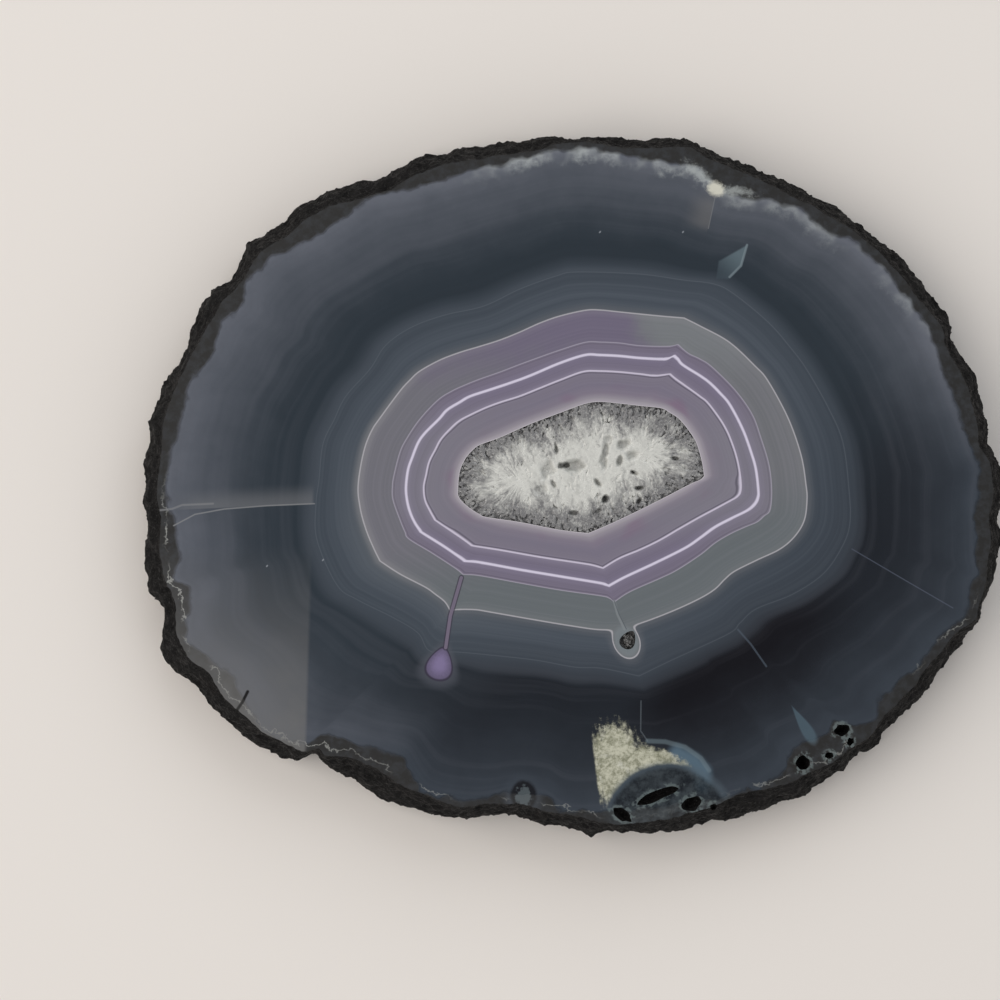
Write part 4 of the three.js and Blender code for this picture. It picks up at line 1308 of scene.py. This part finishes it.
def unwrap_slab(piece, layers):
    """Maps the polished face large, the underside small, and the wall in strips."""
    mesh = piece.data
    places = vertex_places(piece)
    corner = np.empty(len(mesh.loops), int)
    mesh.loops.foreach_get("vertex_index", corner)
    sizes = np.empty(len(mesh.polygons), int)
    mesh.polygons.foreach_get("loop_total", sizes)
    face = np.repeat(np.arange(len(sizes)), sizes)
    middle = np.zeros((len(sizes), 3))
    np.add.at(middle, face, places[corner])
    middle /= sizes[:, None]
    centre = middle[face]
    spot = places[corner]
    angle = np.arctan2(centre[:, 1], centre[:, 0])
    off = np.arctan2(spot[:, 1], spot[:, 0]) - angle
    off = (off + math.pi) % (2 * math.pi) - math.pi
    radius = np.hypot(centre[:, 0], centre[:, 1])
    low, high = (np.array(side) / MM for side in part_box(SLAB_NODE))
    plan = (spot[:, :2] - low[:2]) / (high[0] - low[0])
    turn = (angle + math.pi) / (2 * math.pi)
    swing = off / (2 * math.pi)
    rise = spot[:, 2] / TOP
    strip = np.clip(np.floor(turn * STRIPS), 0, STRIPS - 1)
    strips = np.column_stack([
        STRIP_CORNER[0] + ((turn + swing) * STRIPS - strip) * STRIP_SIZE[0],
        STRIP_CORNER[1] + strip * STRIP_PITCH + rise * STRIP_SIZE[1]])
    shafts = np.column_stack([
        SHAFT_CORNER[0] + (turn + swing) * SHAFT_SIZE[0],
        SHAFT_CORNER[1] + rise * SHAFT_SIZE[1]])
    height = centre[:, 2]
    sunk = height < TOP - 0.02
    wall = sunk & (height > 0.01) & (radius - layers[0].reach(angle) > -1.2)
    shaft = sunk & (height > 1) & (np.abs(radius - layers[-1].reach(angle)) < 0.15)
    uv = FACE_CORNER + plan * FACE_SCALE
    uv = np.where((height < 0.01)[:, None], UNDER_CORNER + plan * UNDER_SCALE, uv)
    uv = np.where(wall[:, None], strips, uv)
    uv = np.where(shaft[:, None], shafts, uv)
    layer = mesh.uv_layers.get("OFBake") or mesh.uv_layers.new(name="OFBake")
    layer.data.foreach_set("uv", uv.astype(np.float32).ravel())
    for other in [each for each in mesh.uv_layers if each.name != "OFBake"]:
        mesh.uv_layers.remove(other)


def bears_marks(corners):
    """Whether a face may hold part of a mark."""
    low, high = corners.min(0), corners.max(0)
    return any(
        low[0] < right and high[0] > left and low[1] < top and high[1] > bottom
        for left, bottom, right, top in MARK_BOXES)


def share_out_slab(piece):
    """Gives the underside, the rough rest and the polished face their materials.

    Stone with no mark in it takes the lighter material, which renders faster.
    """
    mesh = piece.data
    places = vertex_places(piece)
    MARKED, SAWN, ROUGH, UNMARKED = range(4)
    for face in mesh.polygons:
        corners = places[list(face.vertices)]
        if corners[:, 2].min() > TOP - FLAT_TOLERANCE:
            face.material_index = MARKED if bears_marks(corners) else UNMARKED
        else:
            face.material_index = SAWN if corners[:, 2].max() < FLAT_TOLERANCE else ROUGH


def crystal_template(name):
    """A six-sided crystal one unit wide and one long on its foot, with a blunt point."""
    select_nothing()
    bpy.ops.mesh.primitive_cylinder_add(vertices=6, radius=1, depth=1, location=(0, 0, 0.5))
    piece = bpy.context.object
    piece.name = name
    bpy.ops.object.transform_apply(location=True, rotation=False, scale=False)
    select_faces(piece, lambda face: face.normal.z > 0.9)
    rise = Vector((0, 0, POINT_RISE))
    bpy.ops.mesh.extrude_region_move(TRANSFORM_OT_translate={"value": rise})
    bpy.ops.transform.resize(value=(POINT_WIDTH, POINT_WIDTH, 1))
    bpy.ops.object.mode_set(mode="OBJECT")
    return piece


def grown_crystals(name, outline, bottom):
    """Crystals that lean in from the wall of a hollow, joined to its bed and cut off flush."""
    bed = TOP - SMALL_BED_DEPTH
    random = np.random.default_rng(SMALL_SEED)
    template = crystal_template("crystal")
    middle = (outline.min(0) + outline.max(0)) / 2
    lengths = np.hypot(*(np.roll(outline, -1, 0) - outline).T)
    travelled = np.concatenate([[0], np.cumsum(lengths)])
    loop = np.vstack([outline, outline[:1]])
    clusters = [plug(name, outline, bottom, bed)]
    cluster = []
    for i in range(SMALL_CRYSTAL_COUNT):
        share = math.sqrt((i + 0.5) / SMALL_CRYSTAL_COUNT)
        station = (i * GOLDEN_SHARE) % 1 * travelled[-1]
        rim = np.array([np.interp(station, travelled, loop[:, axis]) for axis in (0, 1)])
        foot = middle + (rim - middle) * share
        inward = math.atan2(*(middle - rim)[::-1])
        lean = math.radians(random.uniform(12, 62)) * (0.35 + 0.75 * share)
        turn = inward + random.normal(0, 0.5)
        wide = SMALL_CRYSTAL_RADIUS * random.uniform(0.55, 1.5) * (1.15 - 0.35 * share)
        tall = SMALL_CRYSTAL_LENGTH * random.uniform(0.55, 1.2) * (0.62 + 0.5 * share)
        copy = template.copy()
        copy.data = template.data.copy()
        bpy.context.collection.objects.link(copy)
        placed = (
            Matrix.Translation((*foot, bed - CRYSTAL_FOOT))
            @ Matrix.Rotation(turn, 4, "Z") @ Matrix.Rotation(lean, 4, "Y")
            @ Matrix.Rotation(random.uniform(0, 1), 4, "Z")
            @ Matrix.Diagonal((wide, wide * random.uniform(0.75, 1), tall, 1))
        )
        copy.data.transform(Matrix.Scale(MM, 4) @ placed)
        cluster.append(copy)
        if len(cluster) == CLUSTER_SIZE or i == SMALL_CRYSTAL_COUNT - 1:
            clusters.append(united(cluster))
            cluster = []
    bpy.data.objects.remove(template)
    piece = united(clusters)
    cut_with(piece, plug("cutter", outline, bottom - 1, TOP - FLUSH_DEPTH), "INTERSECT")
    return piece


def united(pieces):
    """Joins overlapping solids two by two into one closed solid."""
    while len(pieces) > 1:
        for first, second in zip(pieces[::2], pieces[1::2]):
            cut_with(first, second, "UNION")
        pieces = pieces[::2]
    return pieces[0]


def mark_crystals(piece, outline, tones=None, shades=None):
    """Gives each vertex its distance from the hollow's rim, its tone and its painted shade."""
    places = vertex_places(piece)
    steps = places[:, None, :2] - outline[None, ::2]
    set_attribute(piece, "from_rim", np.sqrt((steps ** 2).sum(2).min(1)))
    cell = np.floor(places / TONE_WIDTH)
    set_attribute(piece, "tone", scatter(*cell.T) if tones is None else tones(places))
    set_attribute(piece, "shade", np.zeros(len(places)) if shades is None else shades(places))


def oval_share(x, y, middle, along, across, turn):
    """0 at the middle of an oval and 1 on its edge."""
    lean = math.radians(turn)
    dx, dy = x - middle[0], y - middle[1]
    u = dx * math.cos(lean) + dy * math.sin(lean)
    v = dy * math.cos(lean) - dx * math.sin(lean)
    return np.hypot(u / along, v / across)


class CrystalRelief:
    """Heights of many small six-sided crystal points, cut off flush, over a fine grid."""

    def __init__(self, outline, count, radius, seed):
        self.low = outline.min(0) - GRID_MARGIN * CRUST_STEP
        reach = (outline.max(0) - self.low) / CRUST_STEP
        self.steps = np.ceil(reach).astype(int) + GRID_MARGIN
        shape = tuple(self.steps + 1)
        self.height = np.full(shape, TOP - CRUST_BED_DEPTH)
        self.tone = np.full(shape, BED_TONE)
        self.outline = outline
        random = np.random.default_rng(seed)
        feet = self.low + random.random((count, 2)) * self.steps * CRUST_STEP
        for foot in feet:
            self.add_crystal(foot, radius, random)
        self.height = np.minimum(self.height, TOP - FLUSH_DEPTH)
        self.open_gaps()

    def add_crystal(self, foot, radius, random):
        """A leaning point, long in the direction away from the hollow's long middle."""
        rim = math.sqrt(((self.outline - foot) ** 2).sum(1).min())
        inner = min(1, rim / SMALL_RIM_WIDTH)
        spine = np.array([np.clip(foot[0], SPINE_START[0], SPINE_END[0]), 0])
        spine[1] = SPINE_START[1] + (spine[0] - SPINE_START[0]) * SPINE_SLOPE
        away = foot - spine
        heading = math.atan2(away[1], away[0]) + random.normal(0, CRYSTAL_TURN)
        across = radius * random.uniform(*CRYSTAL_WIDTHS) * (0.6 + 0.8 * inner)
        least, most = CRYSTAL_STRETCH
        along = across * random.uniform(least, most + 2.4 * inner)
        tip = TOP + random.uniform(*CRYSTAL_TIPS) + 0.06 * inner
        lean = random.normal(0, CRYSTAL_LEAN)
        slope = random.uniform(*CRYSTAL_SLOPES)
        reach = along * 1.3
        start, end = (
            np.clip(np.round((foot + side * reach - self.low) / CRUST_STEP).astype(int),
                    0, self.steps)
            for side in (-1, 1))
        window = (slice(start[0], end[0] + 1), slice(start[1], end[1] + 1))
        x, y = np.meshgrid(
            *(self.low[axis] + np.arange(start[axis], end[axis] + 1) * CRUST_STEP - foot[axis]
              for axis in (0, 1)), indexing="ij")
        u = x * math.cos(heading) + y * math.sin(heading)
        v = np.abs(y * math.cos(heading) - x * math.sin(heading))
        ends = np.abs(u) * across / along
        # Six sides: two along the crystal, and two pairs at 60 degrees to them
        faces = np.maximum(v, 0.5 * v + 0.866 * ends)
        surface = tip - slope * faces + lean * u
        surface = np.where(faces < across * 1.1, surface, -1)
        higher = surface > self.height[window]
        self.height[window] = np.where(higher, surface, self.height[window])
        self.tone[window] = np.where(higher, random.random(), self.tone[window])

    def open_gaps(self):
        """Sinks the crystals round each open gap, and keeps a painted shade that is darker where
        they sink deeper.
        """
        x, y = np.meshgrid(
            *(self.low[axis] + np.arange(self.steps[axis] + 1) * CRUST_STEP for axis in (0, 1)),
            indexing="ij")
        ragged = lump_noise(np.stack([x, y, x * 0], -1) / 0.7) - 0.5
        depth = np.zeros(x.shape)
        for gap_x, gap_y, along, across, turn, deepest in CRYSTAL_GAPS:
            share = oval_share(x, y, (gap_x, gap_y), along, across, turn) + 0.9 * ragged
            depth = np.maximum(depth, deepest * np.clip(1.45 - share, 0, 1) ** 1.5)
        self.height -= depth
        self.shade = np.clip(depth / 1.3, 0, 1)

    def at(self, field, places):
        """Value of a field of the grid at each place."""
        cell = np.round((places[:, :2] - self.low) / CRUST_STEP).astype(int)
        cell = np.clip(cell, 0, self.steps)
        return field[cell[:, 0], cell[:, 1]]

    def tones(self, places):
        return self.at(self.tone, places)

    def shades(self, places):
        return self.at(self.shade, places)


def crust_block(name, relief):
    """A block whose top is the crystals' relief, reaching below the crust's floor."""
    select_nothing()
    bpy.ops.mesh.primitive_grid_add(
        x_subdivisions=relief.steps[0], y_subdivisions=relief.steps[1], size=2)
    piece = bpy.context.object
    piece.name = name
    plan = np.rint((vertex_places(piece)[:, :2] * MM + 1) / 2 * relief.steps).astype(int)
    height = relief.height[plan[:, 0], plan[:, 1]]
    set_vertex_places(piece, np.column_stack([relief.low + plan * CRUST_STEP, height]))
    extrude_upright(piece, CRUST_FLOOR - TOP - 1)
    return piece


class GEODE_OT_slab(bpy.types.Operator):
    """Makes the agate slab with its rind, its layers and its hollows"""

    bl_idname = "geode.slab"
    bl_label = "Agate slab"

    def execute(self, context):
        settings = context.scene.geode_slice
        rings, layers = slab_rings(settings)
        piece = wrapped_sheet("polished_agate_slab", rings)
        cut_pits(piece)
        mark_layers(piece, layers)
        unwrap_slab(piece, layers)
        finish_piece(
            piece, SLAB_NODE, "banded_agate", 38,
            agate_material("polished_agate", settings, settings.polish),
            agate_material("sawn_agate", settings, SAWN_ROUGHNESS), rind_material(settings),
            agate_material("unmarked_agate", settings, settings.polish, marks=()))
        share_out_slab(piece)
        return {"FINISHED"}


class GEODE_OT_crust(bpy.types.Operator):
    """Makes the crust of quartz crystals that fills the hollow"""

    bl_idname = "geode.crust"
    bl_label = "Quartz crust"

    def execute(self, context):
        settings = context.scene.geode_quartz
        rim = evenly_spaced(closed_curve(HOLLOW_RIM, RIM_STEPS), RIM_COLUMNS)
        outline = drawn_in(rim, CRUST_CLEARANCE)
        relief = CrystalRelief(outline, settings.count, settings.radius / MM, CRUST_SEED)
        piece = crust_block("quartz_crust", relief)
        cut_with(piece, plug("cutter", outline, CRUST_FLOOR, TOP + 1), "INTERSECT")
        mark_crystals(piece, outline, relief.tones, relief.shades)
        milky = tuple(settings.milky_colour) + (1,)
        grey = tuple(settings.grey_colour) + (1,)
        finish_piece(
            piece, CRUST_NODE, "quartz_crystals", 20,
            quartz_material("quartz_in_the_hollow", milky, grey, (0.1, 0.1, 0.105, 1)))
        return {"FINISHED"}


class GEODE_OT_small_crystals(bpy.types.Operator):
    """Makes the smoky crystals in the small hollow"""

    bl_idname = "geode.small_crystals"
    bl_label = "Small crystals"

    def execute(self, context):
        settings = context.scene.geode_quartz
        outline = drawn_in(small_hollow_outline(SMALL_COLUMNS), SMALL_CLEARANCE)
        piece = grown_crystals("small_hollow_quartz", outline, SMALL_FLOOR)
        mark_crystals(piece, outline)
        finish_piece(piece, SMALL_NODE, "smoky_quartz_crystals", 20, quartz_material(
            "smoky_quartz", (0.72, 0.71, 0.68, 1), (0.3, 0.3, 0.3, 1), (0.06, 0.06, 0.06, 1)))
        return {"FINISHED"}


def add_area_light(name, place, size, power, colour):
    """A softbox that faces the middle of the stage."""
    select_nothing()
    bpy.ops.object.light_add(type="AREA", location=place)
    light = bpy.context.object
    light.name = name
    light.rotation_euler = (-Vector(place)).to_track_quat("-Z", "Y").to_euler()
    light.data.shape = "RECTANGLE"
    light.data.size, light.data.size_y = size
    light.data.energy = power
    light.data.color = colour


class GEODE_OT_stage(bpy.types.Operator):
    """Makes the floor, the studio light and the camera"""

    bl_idname = "geode.stage"
    bl_label = "Floor, light and camera"

    def execute(self, context):
        settings = context.scene.geode_stage
        scene = context.scene
        select_nothing()
        bpy.ops.mesh.primitive_plane_add(size=FLOOR_SIZE)
        floor = bpy.context.object
        floor.name = "floor"
        g = Graph("plain_floor")
        g.set(Base_Color=tuple(settings.floor_colour) + (1,), Roughness=0.7)
        g.set(Specular_IOR_Level=0.2)
        floor.data.materials.append(g.material)

        world = bpy.data.worlds.new("studio")
        scene.world = world
        world.use_nodes = True
        tree = world.node_tree
        background = tree.nodes["Background"]
        background.inputs[1].default_value = settings.ambient
        # The sky is dimmer overhead, where the polished face mirrors it
        ramp = tree.nodes.new("ShaderNodeValToRGB")
        sky = zip(ramp.color_ramp.elements, ZENITH_FADE, (SKY_COLOUR, ZENITH_COLOUR))
        for element, position, colour in sky:
            element.position = position
            element.color = colour
        split = tree.nodes.new("ShaderNodeSeparateXYZ")
        direction = tree.nodes.new("ShaderNodeTexCoord")
        tree.links.new(direction.outputs["Generated"], split.inputs[0])
        tree.links.new(split.outputs[2], ramp.inputs[0])
        tree.links.new(ramp.outputs[0], background.inputs[0])
        add_area_light("key_softbox", KEY_PLACE, KEY_SIZE, settings.key_power, KEY_COLOUR)
        add_area_light("fill_softbox", FILL_PLACE, FILL_SIZE, settings.fill_power, FILL_COLOUR)

        height = TOP * MM + settings.camera_height
        bpy.ops.object.camera_add(location=(*VIEW_CENTRE, height), rotation=(0, 0, 0))
        camera = bpy.context.object
        camera.name = "camera"
        camera.data.sensor_width = SENSOR_WIDTH
        camera.data.lens = SENSOR_WIDTH * settings.camera_height / settings.view_width
        camera.data.clip_start = 0.01
        scene.camera = camera
        scene.view_settings.view_transform = "Standard"
        select_nothing()
        return {"FINISHED"}


class GEODE_PT_panel(bpy.types.Panel):
    """Lists the settings and the steps"""

    bl_idname = "GEODE_PT_panel"
    bl_label = "Geode slice"
    bl_space_type = "VIEW_3D"
    bl_region_type = "UI"
    bl_category = "Geode"

    def draw(self, context):
        groups = {"geode_slice": "Slab", "geode_quartz": "Crystals", "geode_stage": "Stage"}
        for name, title in groups.items():
            box = self.layout.box()
            box.label(text=title)
            settings = getattr(context.scene, name)
            for key in settings.bl_rna.properties.keys():
                if key not in ("rna_type", "name"):
                    box.prop(settings, key)
        for step in STEPS:
            self.layout.operator(step.bl_idname)


STEPS = (GEODE_OT_slab, GEODE_OT_crust, GEODE_OT_small_crystals, GEODE_OT_stage)
CLASSES = (SliceSettings, QuartzSettings, StageSettings, *STEPS, GEODE_PT_panel)


def register():
    for each in CLASSES:
        bpy.utils.register_class(each)
    bpy.types.Scene.geode_slice = PointerProperty(type=SliceSettings)
    bpy.types.Scene.geode_quartz = PointerProperty(type=QuartzSettings)
    bpy.types.Scene.geode_stage = PointerProperty(type=StageSettings)


def unregister():
    del bpy.types.Scene.geode_slice
    del bpy.types.Scene.geode_quartz
    del bpy.types.Scene.geode_stage
    for each in reversed(CLASSES):
        bpy.utils.unregister_class(each)


def main():
    register()
    select_nothing()
    bpy.ops.geode.slab()
    bpy.ops.geode.crust()
    bpy.ops.geode.small_crystals()
    bpy.ops.geode.stage()


if __name__ == "__main__":
    main()
